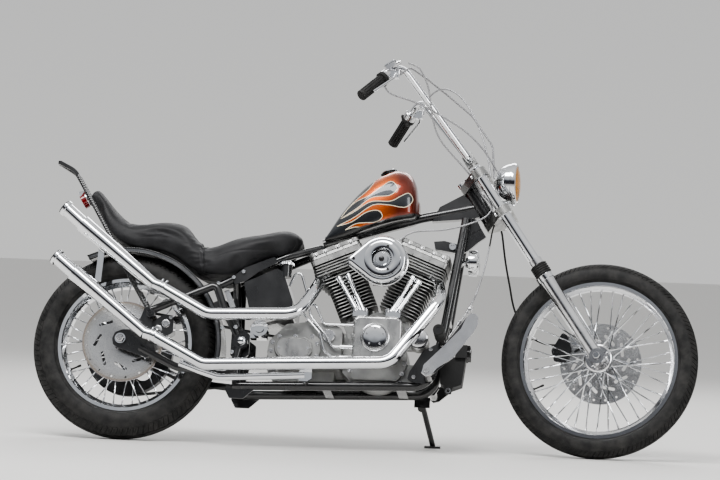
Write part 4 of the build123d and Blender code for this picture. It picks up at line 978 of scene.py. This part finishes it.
# Grips: ribbed rubber, end caps, and bar controls
GRIP_END = Vector((860, -378, 1219))
BAR_CORNER = Vector((975, -262, 1362))
run_right = (BAR_CORNER - GRIP_END).normalized()
ribs = Shape()
controls = Shape()
switches = Shape()
for side in (1, -1):
    end = Vector((GRIP_END.x, side * GRIP_END.y, GRIP_END.z))
    run = Vector((run_right.x, side * run_right.y, run_right.z))
    axes = cross_axes(run)
    sleeve = []
    for along, rise in ((-3, 0), (-1, 1.6), (4, 2.2), (8, 0.6), (10, 1), (104, 1), (108, 0.4)):
        ring = []
        for step in range(144):
            flute = 1.9 * (1 if step % 12 < 7 else 0) if rise == 1 else rise
            angle = tau * step / 144
            ring.append(end + run * along + around(axes, angle) * (17.9 + flute))
        sleeve.append(ring)
    ribs.rings(sleeve, OPEN)
    ribs.lathe(end, run, [(-4.2, 1), (-5.8, 10), (-5.4, 17), (-3, 19.6), (0, 20.0)], 36, NEAR_CAP)
    ribs.lathe(end, run, [(108, 18), (111, 25), (122, 25.6), (124, 23)], 40, OPEN)
    controls.lathe(end, run, [(122.5, 22), (124, 24), (146, 24), (149, 22)], 40)
    perch = end + run * 134
    controls.lathe(perch + Vector((44, 0, 22)), UP, [(-17, 8), (-16, 9), (1, 9), (4, 6)], 20)
    controls.bolt(perch + Vector((14, 0, 19)), UP, 4.5, 4)
    switches.lathe(perch + Vector((-10, 0, -24)), Vector((0.3, 0, -1)), [(0, 11), (12, 11), (14, 9)], 20)
    switches.lathe(perch - run * 2 + Vector((-26, 0, 2)), -FORWARD, [(0, 7), (5, 7), (7, 4)], 16)
ribs.make("grip_ribs", rubber, "fork", angle=40)
controls.make("lever_perches", polished, "fork")
switches.make("bar_switches", rubber, "fork")
tilt_forward = Vector((0.86, 0.0, 0.51))
tilt_up = Vector((-0.51, 0.0, 0.86))
perch = GRIP_END + run_right * 134 + Vector((2, 0, 16))
reservoir = Shape()
lid = Shape()


def tilted_slab(shape, half_width, length, low, height, bevel):
    """A box with cut corners on the brake lever's perch."""
    outline = []
    for along, y in ((0, 0.7), (0.12, 1), (0.88, 1), (1, 0.7), (1, -0.7), (0.88, -1), (0.12, -1), (0, -0.7)):
        outline.append(perch + tilt_forward * (along * length) + LEFT * (y * half_width) + tilt_up * low)
    shape.slab(outline, tilt_up * height, bevel)


tilted_slab(reservoir, 21, 44, 0, 17, 1.5)
tilted_slab(lid, 23, 47, 17.2, 4, 1.5)
for along in (7, 38):
    lid.bolt(perch + tilt_forward * along + tilt_up * 21, tilt_up, 3, 2)
reservoir.lathe(perch + tilt_forward * 40 + tilt_up * 8, tilt_forward, [(0, 9), (14, 9), (16, 6), (22, 6)],
                18)
reservoir.make("brake_reservoir", polished, "fork")
lid.make("reservoir_lid", chrome, "fork")

# Fork: rubber boots over the seals, a bright ring under each, clamp bolts, top caps and axle clamps
boots = Shape()
clamps = Shape()
for y in (-96, 96):
    profile = [(350, 25.2), (352, 29.6)]
    for number in range(5):
        along = 353 + number * 8
        profile += [(along, 30.6), (along + 3, 31.8), (along + 6, 30.6), (along + 7, 29.5)]
    profile += [(393, 28), (394, 25.2)]
    clamps.lathe(leg_point(0, y), LEG_UP, [(330, 25), (331, 27.6), (344, 28.4), (348, 28.4), (349, 25)], 48)
    boots.lathe(leg_point(0, y), LEG_UP, profile, 40, OPEN)
    clamps.lathe(leg_point(0, y), LEG_UP, [(812.5, 19.6), (814, 22.5), (820, 22.5), (822, 21), (823, 12)], 6,
                 FAR_CAP)
    side = 1 if y > 0 else -1
    for height in (627, 790):
        clamps.bolt(leg_point(height, y + side * 20, 26), LEG_BACK, 7, 6)
        clamps.lathe(leg_point(height - 17, y), LEG_UP, [(0, 24), (1.5, 26.5), (32.5, 26.5), (34, 24)], 40)
    clamps.bolt(leg_point(-22, y, -24), -LEG_BACK, 6, 5)
    clamps.bolt(leg_point(-22, y, 24), LEG_BACK, 6, 5)
    clamps.lathe(round_point(FRONT_CENTRE, y + side * 36), LEFT * side, [(0, 13), (6, 13), (8, 11)], 6)
clamps.lathe(leg_point(802, 0, 74), LEG_UP, [(0, 15), (17, 15), (19, 13), (19, 9), (16, 8.5), (16, 0)], 28)
clamps.lathe(leg_point(806, 0, 56), LEG_UP, [(0, 24), (3, 24), (4, 19), (15, 19), (17, 16)], 6)
for y in (-42, 42):
    bar_at = leg_point(863, y)
    for back in (-14, 14):
        for aside in (-8, 8):
            clamps.bolt(bar_at + LEG_UP * 22 + LEG_BACK * back + LEFT * aside, LEG_UP, 5, 5)
boots.make("fork_boots", rubber, "fork", angle=40)
clamps.make("fork_hardware", chrome, "fork")

# Engine: gaskets, scalloped rocker covers and their bolts
def bank_point(bank, height, out=0.0, y=0.0):
    """A point on a cylinder's bank: its height above the crank, how far outwards, and Y."""
    up, away = bank_axes(bank)
    return Vector(CRANK) + up * height + away * out + Vector((0, y, 0))


NOTCH = 9.0


def box_outline(half_length, half_depth, corner, notches=()):
    """A rounded rectangle as (out, y) pairs, its long edges notched by half circles."""
    found = []
    for number, (x_sign, y_sign) in enumerate(((1, 1), (-1, 1), (-1, -1), (1, -1))):
        for step in range(6):
            angle = radians(number * 90 + step * 18)
            found.append((x_sign * (half_length - corner) + corner * cos(angle),
                          y_sign * (half_depth - corner) + corner * sin(angle)))
        if x_sign == y_sign:
            for x in sorted(notches, reverse=y_sign > 0):
                for step in range(9):
                    angle = radians(step * 22.5)
                    found.append((x + y_sign * NOTCH * cos(angle),
                                  y_sign * (half_depth - NOTCH * sin(angle))))
    return found


covers = Shape()
gaskets = Shape()
head_bolts = Shape()
notches = (-62, -14, 34, 70)
for bank in (-1, 1):
    up, away = bank_axes(bank)
    for low, high, length, depth in ((426, 437, 95, 84), (437, 440.5, 92, 81)):
        outline = box_outline(length, depth, 12, notches)
        covers.slab([bank_point(bank, low, x, y) for x, y in outline], up * (high - low), 1.0)
    for height, length, depth in ((389.6, 97.6, 86.6), (411.6, 97.6, 86.6), (425.3, 93.5, 82.5)):
        outline = box_outline(length, depth, 14)
        gaskets.slab([bank_point(bank, height, x, y) for x, y in outline], up * 1.3)
    for x in (-34, 30):
        for side in (1, -1):
            foot = bank_point(bank, 391, x * bank, side * 86.4)
            half = away * 0.9
            top = foot + up * 34 - LEFT * side * 4
            gaskets.slab([foot - half, foot + half, top + half, top - half], LEFT * side * 0.5)
    for side in (1, -1):
        for x in notches:
            head_bolts.bolt(bank_point(bank, 424, x, side * 80.5), up, 5.2, 9)
        for x in (-88, 88):
            head_bolts.bolt(bank_point(bank, 440.4, x * 0.92, side * 66), up, 4.6, 4)
covers.make("rocker_covers", cast)
gaskets.make("head_gaskets", rubber)
head_bolts.make("head_bolts", steel)

# Pushrod tubes: collars, spring caps and the tappet blocks' bolts
tubes = Shape()
blocks = Shape()
PUSHRODS = [((762, -84, 600), (838, -116, 472)), ((794, -84, 612), (862, -116, 472)),
            ((1050, -84, 596), (976, -116, 472)), ((1028, -84, 612), (958, -116, 472))]
for top, foot in PUSHRODS:
    top = Vector(top)
    foot = Vector(foot)
    run = (top - foot).normalized()
    length = (top - foot).length
    tubes.lathe(foot, run, [(0, 13.5), (5, 13.5), (6.5, 11.6), (10, 11.4)], 28)
    tubes.lathe(foot, run, [(length * 0.4 - 3, 11.4), (length * 0.4 - 2, 12.8), (length * 0.4 + 4, 12.8),
                            (length * 0.4 + 6, 10), (length * 0.4 + 7, 8.3)], 28)
    tubes.lathe(foot, run, [(length * 0.80, 8.4), (length * 0.80 + 1, 11.2), (length * 0.80 + 7, 11.2),
                            (length * 0.80 + 8, 8.4)], 28)
    tubes.lathe(foot, run, [(length - 14, 10.5), (length - 13, 12.2), (length, 12.2)], 28)
for x in (850, 967):
    for dx in (-20, 20):
        for y in (-132, -96):
            blocks.lathe((x + dx, y, 470), UP, [(0, 8), (8, 8), (9, 7)], 20)
            blocks.bolt((x + dx, y, 479), UP, 5, 5)
tubes.make("pushrod_collars", chrome)
blocks.make("tappet_bolts", polished)

# Cam cover: bolt bosses round the rim, a ringed dome with five screws
cam = Shape()
for x, z in ((838, 432), (831, 378), (837, 306), (990, 432), (873, 446), (947, 446), (993, 366), (972, 300),
             (905, 293)):
    cam.lathe((x, -118, z), RIGHT, [(0, 9.5), (25, 9.5), (27, 8)], 22)
    cam.bolt((x, -145, z), RIGHT, 5.6, 6)
cam.make("cam_cover_bolts", satin)
TIMER = (909, 374.5)
dome = Shape()
dome.lathe(round_point(TIMER, -162), RIGHT, [(-8, 42), (-2, 42), (1, 40), (2.5, 34), (3.5, 20), (4, 0)], 64,
           FAR_CAP)
dome.make("timer_dome", chrome)
ring = Shape()
ring.lathe(round_point(TIMER, -152), RIGHT, [(0, 51.5), (3, 50.5), (5, 46), (7, 44), (10, 42.6)], 64, OPEN)
for number in range(5):
    ring.bolt(round_point(TIMER, -165, 31, radians(90 + number * 72)), RIGHT, 3.6, 2.5)
ring.make("timer_ring", polished)

# Air cleaner: ring, screws and the ribbed element inside its recess
cleaner = Shape()
CLEANER = Vector((924.7, 0, 647.4))
FACE_Y = -206.0
RECESS = Vector((920.7, 0, 649.4))
cleaner.lathe(CLEANER + Vector((0, FACE_Y - 3.6, 0)), RIGHT, [(0, 65), (2.2, 64), (3.2, 61), (3.6, 44),
                                                              (2.5, 39.5), (-4, 38.2)], 72, OPEN)
cleaner.lathe(RECESS + Vector((0, FACE_Y + 15.5, 0)), RIGHT, [(0, 37), (1, 36), (2, 24), (8, 22), (9, 0)], 48)
cleaner.make("cleaner_trim", chrome)
cleaner_dark = Shape()
for x, z in ((942, 692), (946, 609)):
    cleaner_dark.bolt((x, FACE_Y - 6.5, z), RIGHT, 5.0, 3)
cleaner_dark.bolt((822, FACE_Y + 0.5, 645), RIGHT, 5.2, 4)
for number in range(30):
    angle = tau * number / 30
    at = RECESS + Vector((30 * cos(angle), FACE_Y + 11, 30 * sin(angle)))
    cleaner_dark.tube([at, at + Vector((6 * cos(angle), 0, 6 * sin(angle)))], 1.1, 6)
cleaner_dark.lathe(RECESS + Vector((0, FACE_Y + 8, 0)), RIGHT, [(0, 10), (4, 10), (5, 8), (5, 0)], 24)
cleaner_dark.make("cleaner_element", dark_steel)
CLEANER_RIM, CLEANER_TIP = (924.7, 647.4), (818, 641)
SEAM_Y = -160
seam = Shape()
rim_line = [round_point(CLEANER_RIM, SEAM_Y, 87.3, radians(4.0 * step - 118)) for step in range(61)]
tip_angles = [122] + [122 + step * 14.9 for step in range(9)]
rim_line += [round_point(CLEANER_TIP, SEAM_Y, 18.4, radians(angle)) for angle in tip_angles]
rim_line.append(rim_line[0])
seam.tube(rim_line, 2.2, 8)
seam.make("cleaner_seam", polished)

# Cylinder bases, with their nuts
bases = Shape()
for bank in (-1, 1):
    up = bank_axes(bank)[0]
    bases.lathe(bank_point(bank, 152), up, [(0, 62), (7, 62), (9, 60)], 56)
    for out in (-52, 52):
        for y in (-52, 52):
            bases.bolt(bank_point(bank, 158, out * 0.9, y * 0.9), up, 8, 11, False)
bases.make("cylinder_bases", cast)

# Gearbox cover: a blank oval plate, its bolts, the filler plug, and the kicker boss
gear = Shape()
for x, z in ((541, 316), (545, 346), (568, 368), (624, 371), (684, 371), (704, 346), (704, 300), (686, 276),
             (620, 274), (556, 274)):
    gear.lathe((x, -130, z), RIGHT, [(0, 8), (8.6, 8), (9.6, 7)], 20)
    gear.bolt((x, -139.4, z), RIGHT, 5, 5)
gear.lathe((668, -100, 420), UP, [(0, 16), (12, 16), (14, 13)], 6)
gear.lathe((742, -118, 380), RIGHT, [(0, 22), (9, 22), (11, 19), (11, 9), (6, 8)], 32)
gear.make("gearbox_bolts", polished)
plate = Shape()
oval = []
for number in range(48):
    angle = tau * number / 48
    middle = (621 + (27 if cos(angle) >= 0 else -27), 326)
    oval.append(round_point(middle, -149.6, 34, angle))
plate.slab(oval, RIGHT * 3.0, 1.6)
plate.make("blank_plate", satin)
plate_bolts = Shape()
for x, z in ((570, 326), (672, 326)):
    plate_bolts.bolt((x, -152.4, z), RIGHT, 4.2, 3)
plate_bolts.make("plate_screws", chrome)

# Crankcase: the oil filter and the case's bolts
case = Shape()
case.lathe((1062, -123, 377), RIGHT, [(0, 34.4), (3, 35), (30, 35), (36, 33), (39, 26), (40, 0)], 48, FAR_CAP)
case.make("oil_filter", polished)
case_bolts = Shape()
for x, z in ((1012, 300), (1004, 262), (820, 268), (1016, 420), (800, 300), (1000, 226), (850, 214)):
    case_bolts.lathe((x, -66, z), RIGHT, [(0, 9), (11, 9), (12, 8)], 20)
    case_bolts.bolt((x, -77.5, z), RIGHT, 5.4, 6)
    case_bolts.bolt((x, 77.5, z), LEFT, 5.4, 6)
case_bolts.make("crankcase_bolts", steel)

# Primary cover on the left: bolts round its rim and a plain domed clutch cover
CLUTCH = (600, 330)
primary = Shape()
for centre, reach, start, end in (((CRANK[0], CRANK[2]), 80, -80, 80), (CLUTCH, 94, 100, 260)):
    for step in range(6):
        angle = radians(start + (end - start) * step / 5)
        primary.bolt(round_point(centre, 197.4, reach, angle), LEFT, 5.5, 4)
for x, z in ((705, 417), (800, 404), (712, 228), (806, 230)):
    primary.bolt((x, 196, z), LEFT, 5.5, 4)
primary.lathe(round_point(CLUTCH, 198), LEFT, [(5, 72.4), (8.5, 71), (10.5, 66), (12.5, 40), (13.2, 0)], 72,
              FAR_CAP)
for number in range(5):
    primary.bolt(round_point(CLUTCH, 208.2, 62, tau * number / 5 + 0.3), LEFT, 3.6, 2.5)
primary.make("primary_trim", polished)

# Exhausts: clamp screws at the mufflers, collars at the heads
pipes = Shape()
for kink, joint in (((92, -190, 350.7), (122, -190, 343)), ((113, -190, 529.3), (140, -190, 520))):
    kink = Vector(kink)
    run = (Vector(joint) - kink).normalized()
    for along in (30.5, 46.5):
        at = kink + run * along
        across = run.cross(RIGHT).normalized()
        pipes.lathe(at - across * 25 - run * 3, RIGHT, [(-14, 4.5), (10, 4.5), (11, 3.5)], 6)
for start, after in (((1078, -38, 648), (1116, -44, 600)), ((730, -38, 642), (694, -44, 600))):
    start = Vector(start)
    run = (Vector(after) - start).normalized()
    pipes.lathe(start + run * 24, run, [(-2, 26), (0, 29), (10, 29), (12, 26)], 36)
pipes.make("exhaust_clamps", chrome)
soot = Shape()
for step_point, end_point in (((-176, -190, 561), (-246, -190, 617)), ((-158, -190, 741), (-226, -190, 798))):
    end_point = Vector(end_point)
    run = (end_point - Vector(step_point)).normalized()
    soot.lathe(end_point, run, [(4, 27.5), (-1, 22.6), (-54, 22.4), (-56, 0)], 40, FAR_CAP)
soot.make("tailpipe_soot", dark_steel)

# Horn: its chromed rim and domed face
HORN_BACK = Vector((1223.551, 0, 692))
HORN_FRONT = Vector((1249.551, 0, 692))
horn_rim = Shape()
horn_rim.lathe(HORN_FRONT, FORWARD, [(-26, 46.6), (-4, 47.2), (0, 46), (1.5, 42)], 56, OPEN)
horn_rim.make("horn_rim", chrome)
horn_dome = Shape()
horn_dome.lathe(HORN_FRONT, FORWARD, [(0.5, 42), (5, 36), (8, 24), (9.5, 10), (10, 0)], 56, FAR_CAP)
horn_dome.lathe(HORN_BACK, -FORWARD, [(0, 47.0), (3, 45), (5, 20), (16, 18), (17, 9)], 48)
horn_dome.make("horn_dome", chrome)

# Regulator: cooling fins on its front
fins_shape = Shape()
for number in range(8):
    z = 338 + number * 5.6
    fins_shape.slab([(1230.5, -45, z), (1230.5, 45, z), (1230.5, 45, z + 2), (1230.5, -45, z + 2)],
                    (11, 0, 0), 0.6)
fins_shape.make("regulator_fins", crinkle)
reg_bolts = Shape()
for y in (-38, 38):
    reg_bolts.bolt((1231, y, 360), FORWARD, 4.5, 12)
reg_bolts.lathe((1169, -34, 216), RIGHT, [(-0.5, 10.5), (0.8, 10.2), (0.8, 5.6)], 28, OPEN)
reg_bolts.make("regulator_bolts", steel)

# Foot controls: rubber peg sleeves, bolts, the brake pedal's face and its linkage
pegs = Shape()
peg_bolts = Shape()
for side in (1, -1):
    profile = [(200, 14)]
    for number in range(14):
        along = 202 + number * 9
        profile += [(along, 17.6), (along + 1, 19.6), (along + 6, 19.6), (along + 7, 17.6)]
    profile += [(329, 19.2), (332, 18), (332, 9), (322, 8), (320, 0)]
    pegs.lathe((1144, 0, 372), LEFT * side, profile, 36, FAR_CAP)
    peg_bolts.bolt((1103, side * 244, 243), LEFT * side, 9, 8, False)
    for x, z in ((1050, 244), (1106, 346), (1144, 364)):
        peg_bolts.bolt((x, side * 113.6, z), LEFT * side, 7, 6)
pegs.make("peg_rubbers", rubber)
peg_bolts.lathe((1256, -224, 436), RIGHT, [(0, 6), (18, 6), (19, 5)], 18)
peg_bolts.make("control_bolts", steel)
pedal = Shape()
pedal_edge = [(1086, 234), (1100, 222), (1122, 228), (1140, 252), (1194, 290), (1262, 386), (1276, 416),
              (1276, 440), (1266, 452), (1250, 454), (1236, 442), (1218, 398), (1156, 330), (1092, 262)]
pedal.slab([(x, -241.2, z) for x, z in pedal_edge], RIGHT * 3.2, 1.4)
pedal.make("pedal_face", polished, slot="engine_metal")
linkage = Shape()
clevis = [Vector((1163, -222, 350)), Vector((1212, -222, 424)), Vector((1245, -222, 474))]
linkage.tube(even_path(clevis, 8), 3.4, 10)
linkage.lathe((1208, -222, 418), Vector((33, 0, 56)), [(-8, 6), (-7, 8), (12, 8), (13, 5)], 14)
linkage.lathe((1238, -222, 464), Vector((33, 0, 56)), [(-8, 6), (-7, 7.5), (22, 7.5), (24, 4)], 14)
linkage.lathe((1245, -218, 470), RIGHT, [(-2, 7), (17, 7), (18, 5)], 14)
linkage.make("brake_linkage", steel)

# Top engine mount: the chromed ring
mount = Shape()
mount.lathe((1158.7, -13.5, 746), RIGHT, [(0, 13.5), (8, 13.5), (10, 12), (10, 7), (4, 6.4)], 32)
mount.make("mount_ring", chrome)

# Oil tank: its filler cap, and the frame's bolts near it
oil = Shape()
oil.lathe((574, -104, 643), UP, [(-9, 25.4), (-2, 25.8), (2, 25.2), (6, 21), (8, 10), (8.3, 0)], 40, FAR_CAP)
for number in range(20):
    angle = tau * number / 20
    oil.lathe((574 + 25.4 * cos(angle), -104 + 25.4 * sin(angle), 635), UP, [(0, 1.5), (7, 1.5)], 6)
oil.make("oil_cap", chrome)
rail = Shape()
for x, z in ((334.9, 557.3), (421.9, 603.3), (388, 581)):
    rail.bolt((x, -116, z), RIGHT, 7, 6)
rail.lathe((433.7, -146, 344.7), RIGHT, [(-6, 17), (-2, 19), (4, 17), (9, 11), (11, 0)], 40, FAR_CAP)
for x, z in ((363, 388.4), (410.6, 393.5), (404, 302.5)):
    rail.bolt((x, -146, z), RIGHT, 7, 6)
rail.make("frame_bolts", chrome)

# Calipers: their pistons' covers and bolts, and the rear axle's nuts
calipers = Shape()
front_hardware = Shape()
piston_cover = [(0, 15), (3, 15), (4, 13), (4, 9), (2.5, 8)]
for shape, y, out, covers_at, bolts_at, size in (
        (calipers, -119.5, RIGHT, ((128, 380), (156, 402)), ((110, 366), (172, 424)), 6.5),
        (front_hardware, 88.8, LEFT, ((1548, 386), (1568, 424)), ((1538, 362), (1578, 446)), 6)):
    for x, z in covers_at:
        shape.lathe((x, y, z), out, piston_cover, 32)
    for x, z in bolts_at:
        shape.bolt((x, y, z), out, size, 6)
calipers.lathe(round_point(REAR_CENTRE, -150), RIGHT, [(-14, 19), (-6, 19), (-4, 17)], 36)
calipers.lathe(round_point(REAR_CENTRE, -148), RIGHT, [(0, 15), (12, 15), (14, 12), (14, 8), (17, 8),
                                                       (18, 7)], 6)
calipers.lathe(round_point(REAR_CENTRE, 146), LEFT, [(0, 15), (12, 15), (14, 12)], 6)
calipers.make("rear_caliper_bolts", steel)
front_hardware.make("front_caliper_bolts", steel, "fork")

# Tail lamp: ribbed lens and its chromed bracket
lamp = Shape()
lamp_back = Vector((-177.2, 0, 881.8))
lamp_front = Vector((-200.0, 0, 867.6))
lamp_run = (lamp_front - lamp_back).normalized()
lamp.lathe(lamp_back, lamp_run, [(-1, 27.2), (4, 28.4), (8, 28.4), (9, 27.3)], 48, NEAR_CAP)
lamp.make("tail_lamp_bezel", chrome)
plate_cover = Shape()
plate_cover.slab([(-217.6, -21.6, 899.2), (-217.6, 21.6, 899.2), (-191.6, 21.6, 906.6),
                  (-191.6, -21.6, 906.6)],
                 (-0.6, 0, 2.2), 0.5)
plate_cover.make("lamp_bracket", chrome)
lens_rings = Shape()
for number in range(5):
    lens_rings.lathe(lamp_front, lamp_run, [(0.2, 25 - number * 5), (1.2, 24 - number * 5),
                                            (0.2, 22.6 - number * 5)],
                     40, OPEN)
lens_rings.make("tail_lens_rings", red_glass)

# Bright strut beside the seat posts
strut = Shape()
strut.slab([(350, -66, 540), (368, -66, 546), (396, -66, 484), (378, -66, 474)], RIGHT * 5, 1.5)
strut.make("bright_strut", polished)

# Cables and hoses
def cable(name, points, radius, material, body, slot=None, spacing=6.0):
    """A held cable along a smooth line."""
    shape = Shape()
    shape.tube(even_path(smooth_path(points, 10), spacing), radius)
    return shape.make(name, material, body, slot=slot)


cable("throttle_cable", [(926, -300, 1273), (949, -285, 1248), (1024, -230, 1233), (1096, -180, 1207),
                         (1192, -120, 1158), (1262, -75, 1096), (1311, -50, 1024)], 3.2, braid, "fork")
cable("front_hose", [(1327, 22, 818), (1331, 32, 800), (1342, 60, 715), (1357, 85, 636), (1379, 100, 542),
                     (1425, 107, 462), (1490, 108, 426), (1545, 104, 422)], 3.6, rubber, "fork",
      "black_frame")
cable("clutch_cable", [(994, 270, 1335), (1009, 260, 1374), (1057, 235, 1397), (1118, 200, 1371),
                       (1176, 160, 1301), (1224, 120, 1206), (1258, 80, 1107), (1278, 50, 1025)], 3.2, braid,
      "fork")
cable("idle_cable", [(1007, -290, 1360), (1043, -265, 1347), (1071, -240, 1295), (1083, -215, 1232),
                     (1089, -190, 1180), (1116, -150, 1111), (1196, -100, 1025), (1234, -80, 981),
                     (1262, -68, 930)], 3.0, braid, "fork", "tyre_rubber")

# Two hoses cross the steering bend, each given by its points and left on no body
cable_run = [(1262, -66, 930), (1294, -60, 893), (1290, -64, 868), (1264, -72, 841), (1203, -80, 812),
             (1127, -84, 791), (1017, -84, 778), (960, -92, 730), (934, -100, 668)]
carburettor_cable = cable("carburettor_cable", cable_run, 3.0, braid, None, spacing=5.0)
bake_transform(carburettor_cable)
brake_run = [(1311, -50, 1024), (1316, -52, 930), (1311, -55, 845), (1300, -48, 800), (1292, -50, 740),
             (1276, -54, 650), (1252, -60, 560), (1240, -120, 510), (1246, -200, 484), (1246, -222, 474)]
brake_cable = cable("brake_cable", brake_run, 3.0, rubber, None, spacing=5.0)
# The brake's hose is bare rubber between two heights, in metres, and braided beyond them
BRAID_BELOW = 0.745
BRAID_ABOVE = 0.865
brake_cable.data.materials.append(braid)
for polygon in brake_cable.data.polygons:
    height = (into_bike @ brake_cable.matrix_world @ polygon.center).z
    if height < BRAID_BELOW or height > BRAID_ABOVE:
        polygon.material_index = 1
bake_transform(brake_cable)


# Finishes of the carried-over nodes
def finish_node(node, material):
    """Give a carried-over CAD node its material."""
    obj = frame["nodes"][node]
    obj.data.materials.clear()
    obj.data.materials.append(material)


groups = {
    chrome: ("air_cleaner", "lower_exhaust", "upper_exhaust", "exhaust_brackets", "handlebar", "fork_tubes",
             "headlight", "horn", "pushrod_tubes", "oil_lines", "front_wheel", "rear_wheel", "rear_axle",
             "front_axle"),
    polished: ("fork_sliders",),
    cast: ("crankcase", "cylinder_heads", "gearbox", "primary_cover", "carburettor", "triple_trees"),
    satin: ("cam_cover",),
    enamel: ("frame_backbone", "frame_cradle", "seat_frame", "swingarm", "rear_caliper", "front_caliper",
             "oil_tank", "side_stand", "sissy_bar", "foot_controls"),
    fender_paint: ("rear_fender",),
    crinkle: ("regulator",),
    dark_steel: ("rear_pulley",),
    fins: ("cylinders",),
    rear_disc_metal: ("rear_brake_disc",),
    front_disc_metal: ("front_brake_disc",),
    belt_rubber: ("drive_belt",),
    rubber: ("grips", "rear_tyre", "front_tyre"),
    braid: ("steered_cables",),
    leather: ("seat",),
    red_glass: ("tail_light",),
    tank_paint: ("fuel_tank",),
}
for material, nodes in groups.items():
    for node in nodes:
        finish_node(node, material)


def split_finish(node, second, chosen):
    """Give a second material to the faces of a node whose middle, in its own frame, is chosen."""
    obj = frame["nodes"][node]
    obj.data.materials.append(second)
    for polygon in obj.data.polygons:
        if chosen(obj.matrix_world @ polygon.center):
            polygon.material_index = 1


# The upper tree is black behind its clamps, the seals wear rubber, and the tail lamp's holder is chromed
TREE_SPLIT = 0.730
BLACK_BEHIND = 0.030
SEAL_START = 0.354
SEAL_END = 0.392
leg_foot = fork(*leg_point(0))
leg_up = fork_place.to_3x3() @ LEG_UP
leg_back = fork_place.to_3x3() @ LEG_BACK


def in_upper_tree(place):
    """True on the upper tree behind the tube clamps."""
    return (place - leg_foot).dot(leg_up) > TREE_SPLIT and (place - leg_foot).dot(leg_back) > BLACK_BEHIND


split_finish("triple_trees", enamel, in_upper_tree)
split_finish("fork_sliders", rubber, lambda place: SEAL_START < (place - leg_foot).dot(leg_up) < SEAL_END)
lens_start = bike(*lamp_back)
lens_run = bike_place.to_3x3() @ lamp_run


def behind_lens(place):
    """True away from the drum of the tail lamp's lens."""
    along = (place - lens_start).dot(lens_run)
    aside = (place - lens_start - lens_run * along).length
    return along < 0.004 or aside > 0.030


split_finish("tail_light", chrome, behind_lens)


# Studio
def area_light(name, place, size, power):
    """A soft rectangular light aimed at the motorcycle's middle."""
    data = bpy.data.lights.new(name, "AREA")
    data.shape = "RECTANGLE"
    data.size, data.size_y = size
    data.energy = power
    light = add_object(name, data)
    light.location = place
    light.rotation_euler = (Vector((0, 0, 0.5)) - Vector(place)).to_track_quat("-Z", "Y").to_euler()


area_light("key", (-1.6, -2.7, 5.4), (5.5, 1.8), 330)
area_light("fill", (4.6, -4.2, 2.2), (1.6, 3.2), 95)
area_light("rim", (0.5, 4.6, 4.0), (5.0, 2.0), 140)
world = bpy.data.worlds.new("studio")
world.use_nodes = True
sky = world.node_tree
sky_parts = add_node(sky, "SeparateXYZ", {0: add_node(sky, "TexCoord").outputs["Generated"]})
behind = spread(sky, sky_parts.outputs["Y"], 0.0, 1.0, -0.1, 0.4)
near_sky = ramp_node(sky, sky_parts.outputs["Z"], [
    (0.0, (0.16, 0.15, 0.15)), (0.08, (0.04, 0.04, 0.045)), (0.30, (0.06, 0.06, 0.07)),
    (0.42, (0.62, 0.64, 0.67)), (0.64, (1.0, 1.0, 1.0))])
far_sky = ramp_node(sky, sky_parts.outputs["Z"], [
    (0.0, (0.84, 0.84, 0.83)), (0.12, (0.76, 0.76, 0.76)), (1.0, (0.86, 0.87, 0.88))])
background = sky.nodes["Background"]
feed(sky, background, {"Color": mix_node(sky, behind, near_sky, far_sky), "Strength": 0.72})
bpy.context.scene.world = world
bpy.context.scene.view_settings.look = "AgX - Medium High Contrast"

FLOOR_HALF = 60.0
floor_mesh = bpy.data.meshes.new("floor")
floor_corners = [(x * FLOOR_HALF, y * FLOOR_HALF, 0) for x, y in ((-1, -1), (1, -1), (1, 1), (-1, 1))]
floor_mesh.from_pydata(floor_corners, [], [(0, 1, 2, 3)])
floor_mesh.materials.append(new_material("floor", (0.72, 0.71, 0.69), 0.0, 0.7)[0])
add_object("floor", floor_mesh)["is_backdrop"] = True

low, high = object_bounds()
